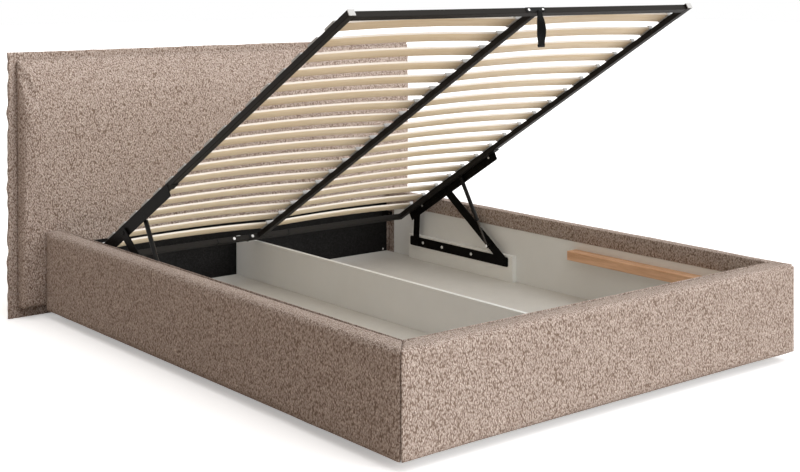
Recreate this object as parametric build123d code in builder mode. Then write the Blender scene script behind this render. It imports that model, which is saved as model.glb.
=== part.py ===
from build123d import *
import os
from math import atan2, cos, degrees, hypot, radians, sin, sqrt

# Upholstered storage bed, drawn with its slatted deck raised. X runs across the bed, +Y points to
# the headboard and +Z up. The origin is on the floor, in the middle of the bed's outline.
# All lengths are in millimetres and all angles in degrees.

# Outline of the bed
bed_length = 2200.0
box_width = 1760.0
rail_top = 336.0
floor_gap = 25.0

# Upholstered rails
side_rail_width = 67.0
foot_rail_width = 70.0
rail_outer_radius = 25.0
rail_inner_radius = 12.0
rail_bottom_radius = 16.0
band_height = 68.0
band_thickness = 3.0
rail_cap = 16.0

# Boards that line the rails
board_thickness = 16.0
side_board_head_gap = 52.0

# Headboard
headboard_width = 2000.0
headboard_height = 1020.0
headboard_board = 16.0
headboard_board_inset = 10.0
flange_thickness = 8.0
flange_width = 28.0
flange_corner_radius = 14.0
cushion_depth = 64.0
cushion_edge_radius = 22.0

# Floor of the storage space, on bearers and glides
bearer_height = 18.0
bearer_width = 70.0
bearer_count = 5
bearer_end_gap = 81.5
floor_thickness = 10.0
glide_radius = 25.0
glide_chamfer = 3.0
glide_spacing = 760.0
glide_columns = 3
divider_thickness = 16.0
divider_gap = 24.0
head_panel_thickness = 3.0
head_panel_height = 222.0

# Corner brackets at the head
bracket_leg = 28.0
bracket_reach = 40.0
bracket_height = 25.0
bracket_thickness = 2.5
bracket_bottom = 211.0
bracket_hole_radius = 3.0
screw_head_radius = 4.5
screw_head_height = 2.0
screw_length = 14.0
low_screw_inset = 22.0
low_screw_rise = 10.0

# Battens that the closed deck lies on
batten_length = 700.0
batten_width = 51.0
batten_height = 35.7
batten_bottom = 203.0
batten_foot_gap = 178.0
batten_edge = 2.0
rest_clearance = 0.3

# Boards and flat bars that carry the lifting mechanism
mount_board_height = 106.0
mount_board_thickness = 22.0
mount_board_head_gap = 179.0
bar_length = 616.0
bar_height = 40.0
bar_thickness = 3.0
bar_foot_inset = 25.0
bar_head_inset = 13.0
bar_rise = 59.0
bar_corner = 8.0
bar_screw_shares = (0.357, 0.656, 0.859)
bar_screw_radius = 3.0
bar_screw_head_radius = 6.5
bar_screw_head_height = 2.6

# Links
link_thickness = 4.0
link_clearance = 3.0
rear_link_width = 36.0
front_link_width = 38.0
rear_pivot_inset = 45.18
rear_pivot_rise = -1.0
front_pivot_inset = 20.57
front_pivot_rise = 5.98
rivet_radius = 5.0
rivet_head_radius = 8.0
rivet_head_height = 2.4
rivet_gap = 0.2
running_clearance = 0.05
press_clearance = 0.02
open_pivot_gap = 0.3

# Deck frame, in the deck's own plane: its origin is under the head tube's outer face
deck_foot_gap = 126.45
deck_side_gap = 8.5
deck_head_gap = 43.25
open_head_gap = 152.64
open_drop = 18.81
open_angle = 31.32
tube_width = 25.0
tube_height = 20.0
tube_wall = 2.0
tube_overhang = 7.0
plug_length = 12.0
plug_lip = 2.5
collar_shares = (-0.275, -0.071, 0.191)
collar_width = 6.0
collar_thickness = 1.5
frame_bolt_shares = (-0.173, -0.053)
frame_bolt_radius = 6.0
frame_bolt_height = 3.0

# Deck plates that hang outside the side tubes
plate_thickness = 3.0
plate_head_margin = 40.5
plate_length = 631.0
plate_drop = 32.0
plate_rise = 16.0
plate_chamfer = 4.0
plate_tab_length = 42.0
plate_tab_overlap = 13.0
plate_screw_shares = (0.155, 0.932)
plate_screw_drop = 5.0
rear_pivot_drop = 11.7
front_pivot_drop = 13.6

# Gas struts
strut_pin_drop = 11.0
strut_stretch_share = 1.5042
strut_foot_distance = 88.0
strut_plane_gap = 12.5
strut_radius = 8.5
strut_neck = 15.0
strut_neck_radius = 5.0
strut_eye_radius = 7.4
strut_eye_thickness = 10.6
strut_pin_radius = 3.5
strut_pin_head_radius = 5.5
strut_pin_head_height = 2.0
rod_radius = 5.0
rod_eye_radius = 8.0
rod_engagement_share = 0.273
rod_end_gap = 3.5
seal_radius = 9.6
seal_length = 9.0
strut_nut_radius = 7.0
strut_nut_height = 4.5
boss_radius = 7.5

# Slats and their holders
slat_count = 18
slat_first = 97.0
slat_last_gap = 104.0
slat_width = 50.0
slat_thickness = 8.0
slat_crown = 8.5
slat_inner_end = 10.0
slat_end_inset = 14.5
slat_clearance = 0.3
holder_floor = 2.0
holder_wall = 2.0
holder_height = 13.4
holder_outset = 3.0
holder_overhang = 6.5
holder_centre_reach = 22.0
holder_corner = 3.0

# Pull strap on the foot tube
strap_centre = 10.0
strap_plate_centre = -5.0
strap_plate_width = 90.0
strap_plate_height = 19.0
strap_plate_thickness = 2.0
strap_plate_corner = 4.0
strap_screw_spacing = 64.0
strap_width = 25.0
strap_length = 118.0
strap_thickness = 3.0
strap_pin_radius = 2.0
strap_pin_offset = 7.8
strap_pin_height = 2.0
strap_gap = 0.3
strap_ear_thickness = 2.5
strap_loop_radius = 9.0

# Places that follow from the sizes above
foot_face = -bed_length / 2
head_face = bed_length / 2
rail_outer = box_width / 2
rail_inner = rail_outer - side_rail_width
foot_inner = foot_face + foot_rail_width
cushion_front = head_face - headboard_board - flange_thickness - cushion_depth
panel_front = cushion_front - head_panel_thickness
board_inner = rail_inner + band_thickness
board_top = rail_top - rail_cap
board_head_end = cushion_front - side_board_head_gap
foot_board_face = foot_inner - band_thickness
inside_length = board_head_end - foot_board_face
bearer_pitch = (inside_length - 2 * bearer_end_gap - bearer_width) / (bearer_count - 1)
floor_bottom = floor_gap + bearer_height
floor_top = floor_bottom + floor_thickness
batten_top = batten_bottom + batten_height
mount_face = board_inner - mount_board_thickness
mount_board_length = bar_foot_inset + bar_length + bar_head_inset
mount_board_start = panel_front - mount_board_head_gap - mount_board_length
bar_face = mount_face - bar_thickness
bar_start = mount_board_start + bar_foot_inset
bar_bottom = floor_top + bar_rise
bar_middle = bar_bottom + bar_height / 2
link_outer = bar_face - link_clearance
link_inner = link_outer - link_thickness
deck_half_width = link_inner - deck_side_gap
plate_inner = deck_half_width
plate_outer = plate_inner + plate_thickness
tube_inner = deck_half_width - tube_width
strut_plane = plate_inner - strut_plane_gap


def along(angle):
    """Unit direction in the YZ plane, at this angle from +Y towards +Z."""
    return (cos(radians(angle)), sin(radians(angle)))


def deck_offset(pivot, tilt):
    """From the deck's origin to a point of its plate, with the deck tilted up by tilt."""
    down_deck, above = pivot
    return (
        above * sin(radians(tilt)) - down_deck * cos(radians(tilt)),
        down_deck * sin(radians(tilt)) + above * cos(radians(tilt)),
    )


def plus(first, second):
    return (first[0] + second[0], first[1] + second[1])


def minus(first, second):
    return (first[0] - second[0], first[1] - second[1])


def distance(first, second):
    return hypot(second[0] - first[0], second[1] - first[1])


def heading(first, second):
    return degrees(atan2(second[1] - first[1], second[0] - first[0]))


def dot(first, second):
    return first[0] * second[0] + first[1] * second[1]


# The four-bar linkage. The closed and the open place of the deck are set by its gaps, and its links
# hold it in both. Points are (Y, Z).
rear_base = (bar_start + bar_length - rear_pivot_inset, bar_middle + rear_pivot_rise)
front_base = (bar_start + front_pivot_inset, bar_middle + front_pivot_rise)
deck_closed = (panel_front - deck_head_gap, batten_top + rest_clearance)
deck_open = (panel_front - open_head_gap, deck_closed[1] - open_drop)
deck_length = deck_closed[0] - foot_inner - deck_foot_gap
down_closed = along(180)
down_open = along(180 - open_angle)


def pivot_on_deck(base, drop):
    """The point of the deck, this far below it, that is as far from its base open as closed."""
    from_closed = minus(plus(deck_closed, deck_offset((0, -drop), 0)), base)
    from_open = minus(plus(deck_open, deck_offset((0, -drop), open_angle)), base)
    turn = dot(from_open, down_open) - dot(from_closed, down_closed)
    return ((dot(from_closed, from_closed) - dot(from_open, from_open)) / (2 * turn), -drop)


deck_rear_pivot = pivot_on_deck(rear_base, rear_pivot_drop)
deck_front_pivot = pivot_on_deck(front_base, front_pivot_drop)
rear_open = plus(deck_open, deck_offset(deck_rear_pivot, open_angle))
rear_closed = plus(deck_closed, deck_offset(deck_rear_pivot, 0))
front_open = plus(deck_open, deck_offset(deck_front_pivot, open_angle))
front_closed = plus(deck_closed, deck_offset(deck_front_pivot, 0))
rear_link_length = distance(rear_base, rear_open)
front_link_length = distance(front_base, front_open)


def strut_foot(link_end):
    """The strut's lower end on the front link, when that link's upper end is at link_end."""
    way = along(heading(front_base, link_end))
    return (
        front_base[0] + strut_foot_distance * way[0],
        front_base[1] + strut_foot_distance * way[1],
    )


def strut_pin_on_deck(stretch):
    """The point of the deck where the open strut is this many times as long as the closed one."""
    from_closed = minus(
        plus(deck_closed, deck_offset((0, -strut_pin_drop), 0)), strut_foot_closed
    )
    from_open = minus(
        plus(deck_open, deck_offset((0, -strut_pin_drop), open_angle)), strut_foot_open
    )
    squares = stretch**2 - 1
    turn = dot(from_open, down_open) - stretch**2 * dot(from_closed, down_closed)
    ends = dot(from_open, from_open) - stretch**2 * dot(from_closed, from_closed)
    return ((turn - sqrt(turn**2 + squares * ends)) / squares, -strut_pin_drop)


strut_foot_open = strut_foot(front_open)
strut_foot_closed = strut_foot(front_closed)
strut_top = strut_pin_on_deck(strut_stretch_share)
strut_top_open = plus(deck_open, deck_offset(strut_top, open_angle))
strut_top_closed = plus(deck_closed, deck_offset(strut_top, 0))
strut_open = distance(strut_top_open, strut_foot_open)
strut_shut = distance(strut_top_closed, strut_foot_closed)

# The deck's plane: x across the bed, y towards the head, z out of the slats' upper side
deck = Plane(
    origin=(0, deck_open[0], deck_open[1]),
    x_dir=(1, 0, 0),
    z_dir=(0, sin(radians(open_angle)), cos(radians(open_angle))),
)


def deck_point(across, down_deck, above):
    return deck.from_local_coords((across, -down_deck, above))


def deck_side(across, down_deck, above):
    """A plane on the deck that faces +X: x towards the foot, y out of the slats' upper side."""
    return Plane(
        origin=deck_point(across, down_deck, above), x_dir=-deck.y_dir, z_dir=(-1, 0, 0)
    )


def side_plane(across, point, angle=0):
    """A plane that faces +X at a (Y, Z) point, with its x at this angle from +Y towards +Z."""
    way = along(angle)
    return Plane(
        origin=(across, point[0], point[1]), x_dir=(0, way[0], way[1]), z_dir=(1, 0, 0)
    )


def block(x_range, y_range, z_range, mode=Mode.ADD):
    """A box between two places on each axis."""
    with Locations((x_range[0], y_range[0], z_range[0])):
        Box(
            x_range[1] - x_range[0],
            y_range[1] - y_range[0],
            z_range[1] - z_range[0],
            align=(Align.MIN, Align.MIN, Align.MIN),
            mode=mode,
        )


# Headboard: a stiff board, a flat flange of cover fabric all round and the cushion in front
with BuildPart() as headboard_panel:
    block(
        (headboard_board_inset - headboard_width / 2, headboard_width / 2 - headboard_board_inset),
        (head_face - headboard_board, head_face),
        (0, headboard_height - headboard_board_inset),
    )
headboard_panel.part.label = "headboard_panel"

with BuildPart() as headboard_flange:
    block(
        (-headboard_width / 2, headboard_width / 2),
        (head_face - headboard_board - flange_thickness, head_face - headboard_board),
        (0, headboard_height),
    )
    fillet(headboard_flange.edges().filter_by(Axis.Y), flange_corner_radius)
headboard_flange.part.label = "headboard_flange"

with BuildPart() as headboard_cushion:
    block(
        (flange_width - headboard_width / 2, headboard_width / 2 - flange_width),
        (cushion_front, cushion_front + cushion_depth),
        (flange_width, headboard_height - flange_width),
    )
    fillet(headboard_cushion.edges().filter_by(Axis.Y), cushion_edge_radius)
    front_rim = headboard_cushion.faces().sort_by(Axis.Y)[0].edges()
    fillet(front_rim, cushion_edge_radius)
headboard_cushion.part.label = "headboard_cushion"


def rail_profile(width):
    """Section of an upholstered rail. Its x starts at the outer face, its y is the height."""
    with BuildLine(Plane.XY) as outline:
        Polyline(
            (0, floor_gap), (width, floor_gap), (width, rail_top), (0, rail_top), close=True
        )
    make_face(outline.edges())
    outer_top = vertices().group_by(Axis.Y)[-1].sort_by(Axis.X)[0]
    fillet(outer_top, rail_outer_radius)
    inner_top = vertices().group_by(Axis.Y)[-1].sort_by(Axis.X)[-1]
    fillet(inner_top, rail_inner_radius)
    outer_bottom = vertices().group_by(Axis.Y)[0].sort_by(Axis.X)[0]
    fillet(outer_bottom, rail_bottom_radius)


# The side and foot rails meet in a mitre, from the outer corner to the inner one
mitre = Plane(
    origin=(rail_outer, foot_face, 0),
    x_dir=(-side_rail_width, foot_rail_width, 0),
    z_dir=(foot_rail_width, side_rail_width, 0),
)


def lining_space():
    """Takes the lining boards, and the strip below the fabric band, out of the rails."""
    block(
        (board_inner, board_inner + board_thickness),
        (foot_board_face - board_thickness, board_head_end),
        (floor_gap, board_top),
        mode=Mode.SUBTRACT,
    )
    block(
        (rail_inner, board_inner),
        (foot_board_face, board_head_end),
        (floor_gap, rail_top - band_height),
        mode=Mode.SUBTRACT,
    )
    block(
        (-board_inner, board_inner),
        (foot_board_face - board_thickness, foot_board_face),
        (floor_gap, board_top),
        mode=Mode.SUBTRACT,
    )
    block(
        (-board_inner, board_inner),
        (foot_board_face, foot_inner),
        (floor_gap, rail_top - band_height),
        mode=Mode.SUBTRACT,
    )


with BuildPart() as side_rail_right:
    with BuildSketch(Plane(origin=(rail_outer, foot_face, 0), x_dir=(-1, 0, 0), z_dir=(0, 1, 0))):
        rail_profile(side_rail_width)
    extrude(amount=cushion_front - foot_face)
    split(bisect_by=mitre, keep=Keep.TOP)
    lining_space()
side_rail_right.part.label = "side_rail_right"

with BuildPart() as side_rail_left:
    mirror(side_rail_right.part, about=Plane.YZ)
side_rail_left.part.label = "side_rail_left"

with BuildPart() as foot_rail:
    with BuildSketch(Plane(origin=(-rail_outer, foot_face, 0), x_dir=(0, 1, 0), z_dir=(1, 0, 0))):
        rail_profile(foot_rail_width)
    extrude(amount=box_width)
    split(bisect_by=mitre, keep=Keep.BOTTOM)
    left_mitre = Plane(
        origin=(-rail_outer, foot_face, 0),
        x_dir=(side_rail_width, foot_rail_width, 0),
        z_dir=(-foot_rail_width, side_rail_width, 0),
    )
    split(bisect_by=left_mitre, keep=Keep.BOTTOM)
    lining_space()
    block(
        (-board_inner - board_thickness, -board_inner),
        (foot_board_face - board_thickness, foot_board_face),
        (floor_gap, board_top),
        mode=Mode.SUBTRACT,
    )
foot_rail.part.label = "foot_rail"

# Lining boards, stood inside the rails
with BuildPart() as side_board_right:
    block(
        (board_inner, board_inner + board_thickness),
        (foot_board_face - board_thickness, board_head_end),
        (floor_gap, board_top),
    )
side_board_right.part.label = "side_board_right"

with BuildPart() as side_board_left:
    mirror(side_board_right.part, about=Plane.YZ)
side_board_left.part.label = "side_board_left"

with BuildPart() as foot_board:
    block(
        (-board_inner, board_inner),
        (foot_board_face - board_thickness, foot_board_face),
        (floor_gap, board_top),
    )
foot_board.part.label = "foot_board"

# Floor of the storage space
inside_middle = (foot_board_face + board_head_end) / 2
with BuildPart() as floor_bearers:
    with Locations((0, inside_middle, floor_gap)):
        with GridLocations(0, bearer_pitch, 1, bearer_count):
            Box(
                2 * board_inner,
                bearer_width,
                bearer_height,
                align=(Align.CENTER, Align.CENTER, Align.MIN),
            )
floor_bearers.part.label = "floor_bearers"

with BuildPart() as glides:
    with Locations((0, inside_middle, 0)):
        with GridLocations(glide_spacing, bearer_pitch, glide_columns, bearer_count):
            Cylinder(
                glide_radius, floor_gap, align=(Align.CENTER, Align.CENTER, Align.MIN)
            )
    chamfer(glides.edges().group_by(Axis.Z)[0], glide_chamfer)
glides.part.label = "glides"

with BuildPart() as floor_right:
    block((0, board_inner), (foot_board_face, board_head_end), (floor_bottom, floor_top))
    block((0, rail_inner), (board_head_end, cushion_front), (floor_bottom, floor_top))
floor_right.part.label = "floor_right"

with BuildPart() as floor_left:
    mirror(floor_right.part, about=Plane.YZ)
floor_left.part.label = "floor_left"

with BuildPart() as divider:
    block(
        (-divider_thickness / 2, divider_thickness / 2),
        (foot_board_face, panel_front),
        (floor_top, deck_closed[1] - divider_gap),
    )
divider.part.label = "divider"

with BuildPart() as head_panel:
    block(
        (-rail_inner, rail_inner),
        (panel_front, cushion_front),
        (floor_top, floor_top + head_panel_height),
    )
head_panel.part.label = "head_panel"

# Angle brackets that tie the side rails to the head panel, and the screws there
bracket_middle = bracket_bottom + bracket_height / 2
bracket_hole = (rail_inner - bracket_leg / 2, panel_front - bracket_reach / 2)
with BuildPart() as bracket_right:
    block(
        (rail_inner - bracket_leg, rail_inner),
        (panel_front - bracket_thickness, panel_front),
        (bracket_bottom, bracket_bottom + bracket_height),
    )
    block(
        (rail_inner - bracket_thickness, rail_inner),
        (panel_front - bracket_reach, panel_front),
        (bracket_bottom, bracket_bottom + bracket_height),
    )
    with Locations(Plane(origin=(bracket_hole[0], panel_front, bracket_middle), z_dir=(0, -1, 0))):
        Cylinder(bracket_hole_radius, bracket_reach / 2, mode=Mode.SUBTRACT)
    with Locations(Plane(origin=(rail_inner, bracket_hole[1], bracket_middle), z_dir=(-1, 0, 0))):
        Cylinder(bracket_hole_radius, bracket_leg, mode=Mode.SUBTRACT)
bracket_right.part.label = "bracket_right"

with BuildPart() as bracket_left:
    mirror(bracket_right.part, about=Plane.YZ)
bracket_left.part.label = "bracket_left"


def round_screw(head_radius, head_height, shank_radius, shank_length):
    """A round-headed screw on the plane's z axis, its head seated on the plane."""
    Cylinder(head_radius, head_height, align=(Align.CENTER, Align.CENTER, Align.MIN))
    Cylinder(shank_radius, shank_length, align=(Align.CENTER, Align.CENTER, Align.MAX))


low_screw = (rail_inner - low_screw_inset, panel_front, floor_top + low_screw_rise)
low_screws = (low_screw, (-low_screw[0], low_screw[1], low_screw[2]))
with BuildPart() as panel_screws:
    for place in low_screws:
        with Locations(Plane(origin=place, z_dir=(0, -1, 0))):
            Cylinder(
                screw_head_radius,
                screw_head_height,
                align=(Align.CENTER, Align.CENTER, Align.MIN),
            )
panel_screws.part.label = "panel_screws"

# Battens for the closed deck
with BuildPart() as batten_right:
    batten_start = foot_inner + batten_foot_gap
    block(
        (board_inner - batten_width, board_inner),
        (batten_start, batten_start + batten_length),
        (batten_bottom, batten_top),
    )
    chamfer(batten_right.faces().sort_by(Axis.X)[0].edges(), batten_edge)
batten_right.part.label = "batten_right"

with BuildPart() as batten_left:
    mirror(batten_right.part, about=Plane.YZ)
batten_left.part.label = "batten_left"

# Mount boards and base bars of the lifting mechanism
base_pivots = (rear_base, front_base)
bar_screw_places = [(bar_start + share * bar_length, bar_middle) for share in bar_screw_shares]

with BuildPart() as mount_board_right:
    block(
        (mount_face, board_inner),
        (mount_board_start, mount_board_start + mount_board_length),
        (floor_top, floor_top + mount_board_height),
    )
    for place in bar_screw_places:
        with Locations(side_plane(mount_face, place)):
            Cylinder(
                bar_screw_radius + press_clearance,
                screw_length,
                align=(Align.CENTER, Align.CENTER, Align.MIN),
                mode=Mode.SUBTRACT,
            )
mount_board_right.part.label = "mount_board_right"

with BuildPart() as mount_board_left:
    mirror(mount_board_right.part, about=Plane.YZ)
mount_board_left.part.label = "mount_board_left"

with BuildPart() as base_bar_right:
    bar_centre = (bar_start + bar_length / 2, bar_middle)
    with BuildSketch(side_plane(bar_face, bar_centre)):
        RectangleRounded(bar_length, bar_height, bar_corner)
        for place in bar_screw_places:
            with Locations(minus(place, bar_centre)):
                Circle(bar_screw_radius + press_clearance, mode=Mode.SUBTRACT)
        for place in base_pivots:
            with Locations(minus(place, bar_centre)):
                Circle(rivet_radius + press_clearance, mode=Mode.SUBTRACT)
    extrude(amount=bar_thickness)
base_bar_right.part.label = "base_bar_right"

with BuildPart() as base_bar_left:
    mirror(base_bar_right.part, about=Plane.YZ)
base_bar_left.part.label = "base_bar_left"

with BuildPart() as base_screws:
    for place in bar_screw_places:
        facing_in = Plane(origin=(bar_face, place[0], place[1]), z_dir=(-1, 0, 0))
        with Locations(facing_in):
            round_screw(
                bar_screw_head_radius,
                bar_screw_head_height,
                bar_screw_radius,
                bar_thickness + screw_length - press_clearance,
            )
    mirror(about=Plane.YZ)
base_screws.part.label = "base_screws"


def turned(point, steps):
    """A rivet turned about an axis along X through a (Y, Z) point, from steps of (X, radius)."""
    corners = [(steps[0][0], 0)]
    for (place, radius), (next_place, _) in zip(steps, steps[1:]):
        corners += [(place, radius), (next_place, radius)]
    corners.append((steps[-1][0], 0))
    with BuildSketch(Plane(origin=(0, point[0], point[1]))) as section:
        with BuildLine():
            Polyline(*corners, close=True)
        make_face()
    revolve(section.sketch, axis=Axis((0, point[0], point[1]), (1, 0, 0)))


# Base rivets: a head inside the link, a shoulder between link and bar, a shank through both
with BuildPart() as base_rivets:
    for pivot in base_pivots:
        turned(
            pivot,
            [
                (link_inner - rivet_gap - rivet_head_height, rivet_head_radius),
                (link_inner - rivet_gap, rivet_radius),
                (link_outer + rivet_gap, rivet_head_radius),
                (bar_face, rivet_radius),
                (bar_face + bar_thickness, 0),
            ],
        )
    mirror(about=Plane.YZ)
base_rivets.part.label = "base_rivets"

# Rear links
with BuildPart() as rear_link_right:
    with BuildSketch(side_plane(link_inner, rear_base, heading(rear_base, rear_open))):
        with Locations((rear_link_length / 2, 0)):
            SlotCenterToCenter(rear_link_length, rear_link_width)
        with Locations((0, 0), (rear_link_length, 0)):
            Circle(rivet_radius + running_clearance, mode=Mode.SUBTRACT)
    extrude(amount=link_thickness)
rear_link_right.part.label = "rear_link_right"

with BuildPart() as rear_link_left:
    mirror(rear_link_right.part, about=Plane.YZ)
rear_link_left.part.label = "rear_link_left"

# Front links: the upper end carries its own rivet head, and a boss takes the gas strut's foot
with BuildPart() as front_link_right:
    front_heading = heading(front_base, front_open)
    with BuildSketch(side_plane(link_inner, front_base, front_heading)):
        with Locations((front_link_length / 2, 0)):
            SlotCenterToCenter(front_link_length, front_link_width)
        Circle(rivet_radius + running_clearance, mode=Mode.SUBTRACT)
    extrude(amount=link_thickness)
    with BuildSketch(side_plane(link_outer, front_open)):
        Circle(rivet_head_radius)
    extrude(amount=rivet_head_height)
    with BuildSketch(side_plane(link_inner, strut_foot_open)):
        Circle(boss_radius)
    boss_length = link_inner - strut_plane - strut_eye_thickness / 2 - open_pivot_gap
    extrude(amount=-boss_length)
front_link_right.part.label = "front_link_right"

with BuildPart() as front_link_left:
    mirror(front_link_right.part, about=Plane.YZ)
front_link_left.part.label = "front_link_left"

# Deck frame, of square-cut rectangular tube
tube_end = deck_length + tube_overhang


def deck_block(x_range, down_range, above_range, mode=Mode.ADD):
    """A box on the deck, with its middle range measured from the head end towards the foot."""
    block(x_range, (-down_range[1], -down_range[0]), above_range, mode)


with BuildPart(deck) as side_tube_right:
    deck_block((tube_inner, deck_half_width), (0, tube_end), (0, tube_height))
    deck_block(
        (tube_inner + tube_wall, deck_half_width - tube_wall),
        (0, tube_end),
        (tube_wall, tube_height - tube_wall),
        mode=Mode.SUBTRACT,
    )
side_tube_right.part.label = "side_tube_right"

with BuildPart() as side_tube_left:
    mirror(side_tube_right.part, about=Plane.YZ)
side_tube_left.part.label = "side_tube_left"


def cross_tube(down_start):
    """A tube across the deck, between the side tubes."""
    deck_block((-tube_inner, tube_inner), (down_start, down_start + tube_width), (0, tube_height))
    deck_block(
        (-tube_inner, tube_inner),
        (down_start + tube_wall, down_start + tube_width - tube_wall),
        (tube_wall, tube_height - tube_wall),
        mode=Mode.SUBTRACT,
    )


foot_tube_start = deck_length - tube_width
with BuildPart(deck) as foot_tube:
    cross_tube(foot_tube_start)
foot_tube.part.label = "foot_tube"

with BuildPart(deck) as head_tube:
    cross_tube(0)
head_tube.part.label = "head_tube"

with BuildPart(deck) as tube_collars:
    for share in collar_shares:
        place = share * tube_inner
        collar_range = (place - collar_width / 2, place + collar_width / 2)
        deck_block(
            collar_range,
            (-collar_thickness, tube_width + collar_thickness),
            (-collar_thickness, tube_height + collar_thickness),
        )
        deck_block(collar_range, (0, tube_width), (0, tube_height), mode=Mode.SUBTRACT)
tube_collars.part.label = "tube_collars"

with BuildPart(deck) as centre_beam:
    deck_block((-tube_width / 2, tube_width / 2), (tube_width, foot_tube_start), (0, tube_height))
    deck_block(
        (tube_wall - tube_width / 2, tube_width / 2 - tube_wall),
        (tube_width, foot_tube_start),
        (tube_wall, tube_height - tube_wall),
        mode=Mode.SUBTRACT,
    )
centre_beam.part.label = "centre_beam"

plug_inset = tube_wall + press_clearance
with BuildPart(deck) as tube_plugs:
    for inward, lip_start in ((plug_length, -plug_lip), (-plug_length, tube_end)):
        lip_range = (lip_start, lip_start + plug_lip)
        tube_face = max(0, min(lip_start, tube_end))
        deck_block((tube_inner, deck_half_width), lip_range, (0, tube_height))
        deck_block(
            (tube_inner + plug_inset, deck_half_width - plug_inset),
            sorted((tube_face, tube_face + inward)),
            (plug_inset, tube_height - plug_inset),
        )
    mirror(about=Plane.YZ)
tube_plugs.part.label = "tube_plugs"

with BuildPart(deck) as frame_bolts:
    for share in frame_bolt_shares:
        seat = (share * tube_inner, -tube_width, tube_height / 2)
        with Locations(Plane(origin=seat, z_dir=(0, -1, 0))):
            Cylinder(
                frame_bolt_radius,
                frame_bolt_height,
                align=(Align.CENTER, Align.CENTER, Align.MIN),
            )
frame_bolts.part.label = "frame_bolts"

# Deck plates, welded to the outside of the side tubes
deck_pivots = (deck_rear_pivot, deck_front_pivot)
plate_start = deck_rear_pivot[0] - plate_head_margin
with BuildPart() as deck_plate_right:
    with BuildSketch(deck_side(plate_inner, 0, 0)):
        with Locations((plate_start, -plate_drop)):
            Rectangle(plate_length, plate_drop + plate_rise, align=(Align.MIN, Align.MIN))
        chamfer(vertices().group_by(Axis.X)[-1], plate_chamfer)
        with Locations(*deck_pivots):
            Circle(rivet_radius + press_clearance, mode=Mode.SUBTRACT)
        with Locations(strut_top):
            Circle(strut_pin_radius + press_clearance, mode=Mode.SUBTRACT)
    extrude(amount=-plate_thickness)
    plate_end = plate_start + plate_length
    with BuildSketch(deck_side(plate_outer, 0, 0)):
        with Locations((plate_end - plate_tab_overlap, -plate_thickness)):
            Rectangle(plate_tab_length, plate_thickness, align=(Align.MIN, Align.MIN))
    extrude(amount=plate_outer - tube_inner)
deck_plate_right.part.label = "deck_plate_right"

with BuildPart() as deck_plate_left:
    mirror(deck_plate_right.part, about=Plane.YZ)
deck_plate_left.part.label = "deck_plate_left"

with BuildPart() as plate_screws:
    for share in plate_screw_shares:
        seat = deck_point(plate_inner, plate_start + share * plate_length, -plate_screw_drop)
        with Locations(Plane(origin=seat, z_dir=(-1, 0, 0))):
            Cylinder(
                screw_head_radius,
                screw_head_height,
                align=(Align.CENTER, Align.CENTER, Align.MIN),
            )
    mirror(about=Plane.YZ)
plate_screws.part.label = "plate_screws"

# Deck rivets. The rear one passes through its link. The front one ends just short of its link.
with BuildPart() as deck_rivets:
    turned(
        rear_open,
        [
            (plate_inner - rivet_head_height, rivet_head_radius),
            (plate_inner, rivet_radius),
            (plate_outer, rivet_head_radius),
            (link_inner - rivet_gap, rivet_radius),
            (link_outer + rivet_gap, rivet_head_radius),
            (link_outer + rivet_gap + rivet_head_height, 0),
        ],
    )
    turned(
        front_open,
        [
            (plate_inner - rivet_head_height, rivet_head_radius),
            (plate_inner, rivet_radius),
            (plate_outer, rivet_head_radius),
            (link_inner - open_pivot_gap, 0),
        ],
    )
    mirror(about=Plane.YZ)
deck_rivets.part.label = "deck_rivets"

# Upper pins of the gas struts
with BuildPart() as strut_pins:
    eye_face = strut_plane - strut_eye_thickness / 2
    turned(
        strut_top_open,
        [
            (eye_face - rivet_gap - strut_pin_head_height, strut_pin_head_radius),
            (eye_face - rivet_gap, strut_pin_radius),
            (eye_face + strut_eye_thickness + rivet_gap, strut_pin_head_radius),
            (plate_inner, strut_pin_radius),
            (plate_outer, 0),
        ],
    )
    mirror(about=Plane.YZ)
strut_pins.part.label = "strut_pins"

# Gas struts: x across the bed, z from the upper pin to the lower end
strut_way = along(heading(strut_top_open, strut_foot_open))
strut_line = Plane(
    origin=(strut_plane, strut_top_open[0], strut_top_open[1]),
    x_dir=(1, 0, 0),
    z_dir=(0, strut_way[0], strut_way[1]),
)
strut_body_end = strut_shut - rod_eye_radius - rod_end_gap
rod_start = strut_body_end - rod_engagement_share * strut_shut
bore_start = rod_start - (strut_open - strut_shut) - rod_end_gap


def strut_tube(radius, start, end, mode=Mode.ADD):
    """A cylinder along the strut, between two distances from its upper pin."""
    with Locations((0, 0, start)):
        Cylinder(radius, end - start, align=(Align.CENTER, Align.CENTER, Align.MIN), mode=mode)


def strut_eye(radius, place, hole_radius):
    """A flat eye across the strut, with its hole along the bed's width."""
    with Locations(Location((0, 0, place), (0, 90, 0))):
        Cylinder(radius, strut_eye_thickness)
        Cylinder(hole_radius, strut_eye_thickness, mode=Mode.SUBTRACT)


with BuildPart(strut_line) as strut_body_right:
    strut_tube(strut_neck_radius, strut_eye_radius / 2, strut_neck)
    strut_eye(strut_eye_radius, 0, strut_pin_radius + running_clearance)
    strut_tube(strut_radius, strut_neck, strut_body_end - seal_length)
    strut_tube(seal_radius, strut_body_end - seal_length, strut_body_end)
    strut_tube(rod_radius + running_clearance, bore_start, strut_body_end, mode=Mode.SUBTRACT)
strut_body_right.part.label = "strut_body_right"

with BuildPart() as strut_body_left:
    mirror(strut_body_right.part, about=Plane.YZ)
strut_body_left.part.label = "strut_body_left"

with BuildPart(strut_line) as strut_rod_right:
    strut_tube(rod_radius, rod_start, strut_open - rod_eye_radius / 2)
    strut_eye(rod_eye_radius, strut_open, strut_pin_radius)
strut_rod_right.part.label = "strut_rod_right"

with BuildPart() as strut_rod_left:
    mirror(strut_rod_right.part, about=Plane.YZ)
strut_rod_left.part.label = "strut_rod_left"

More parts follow.
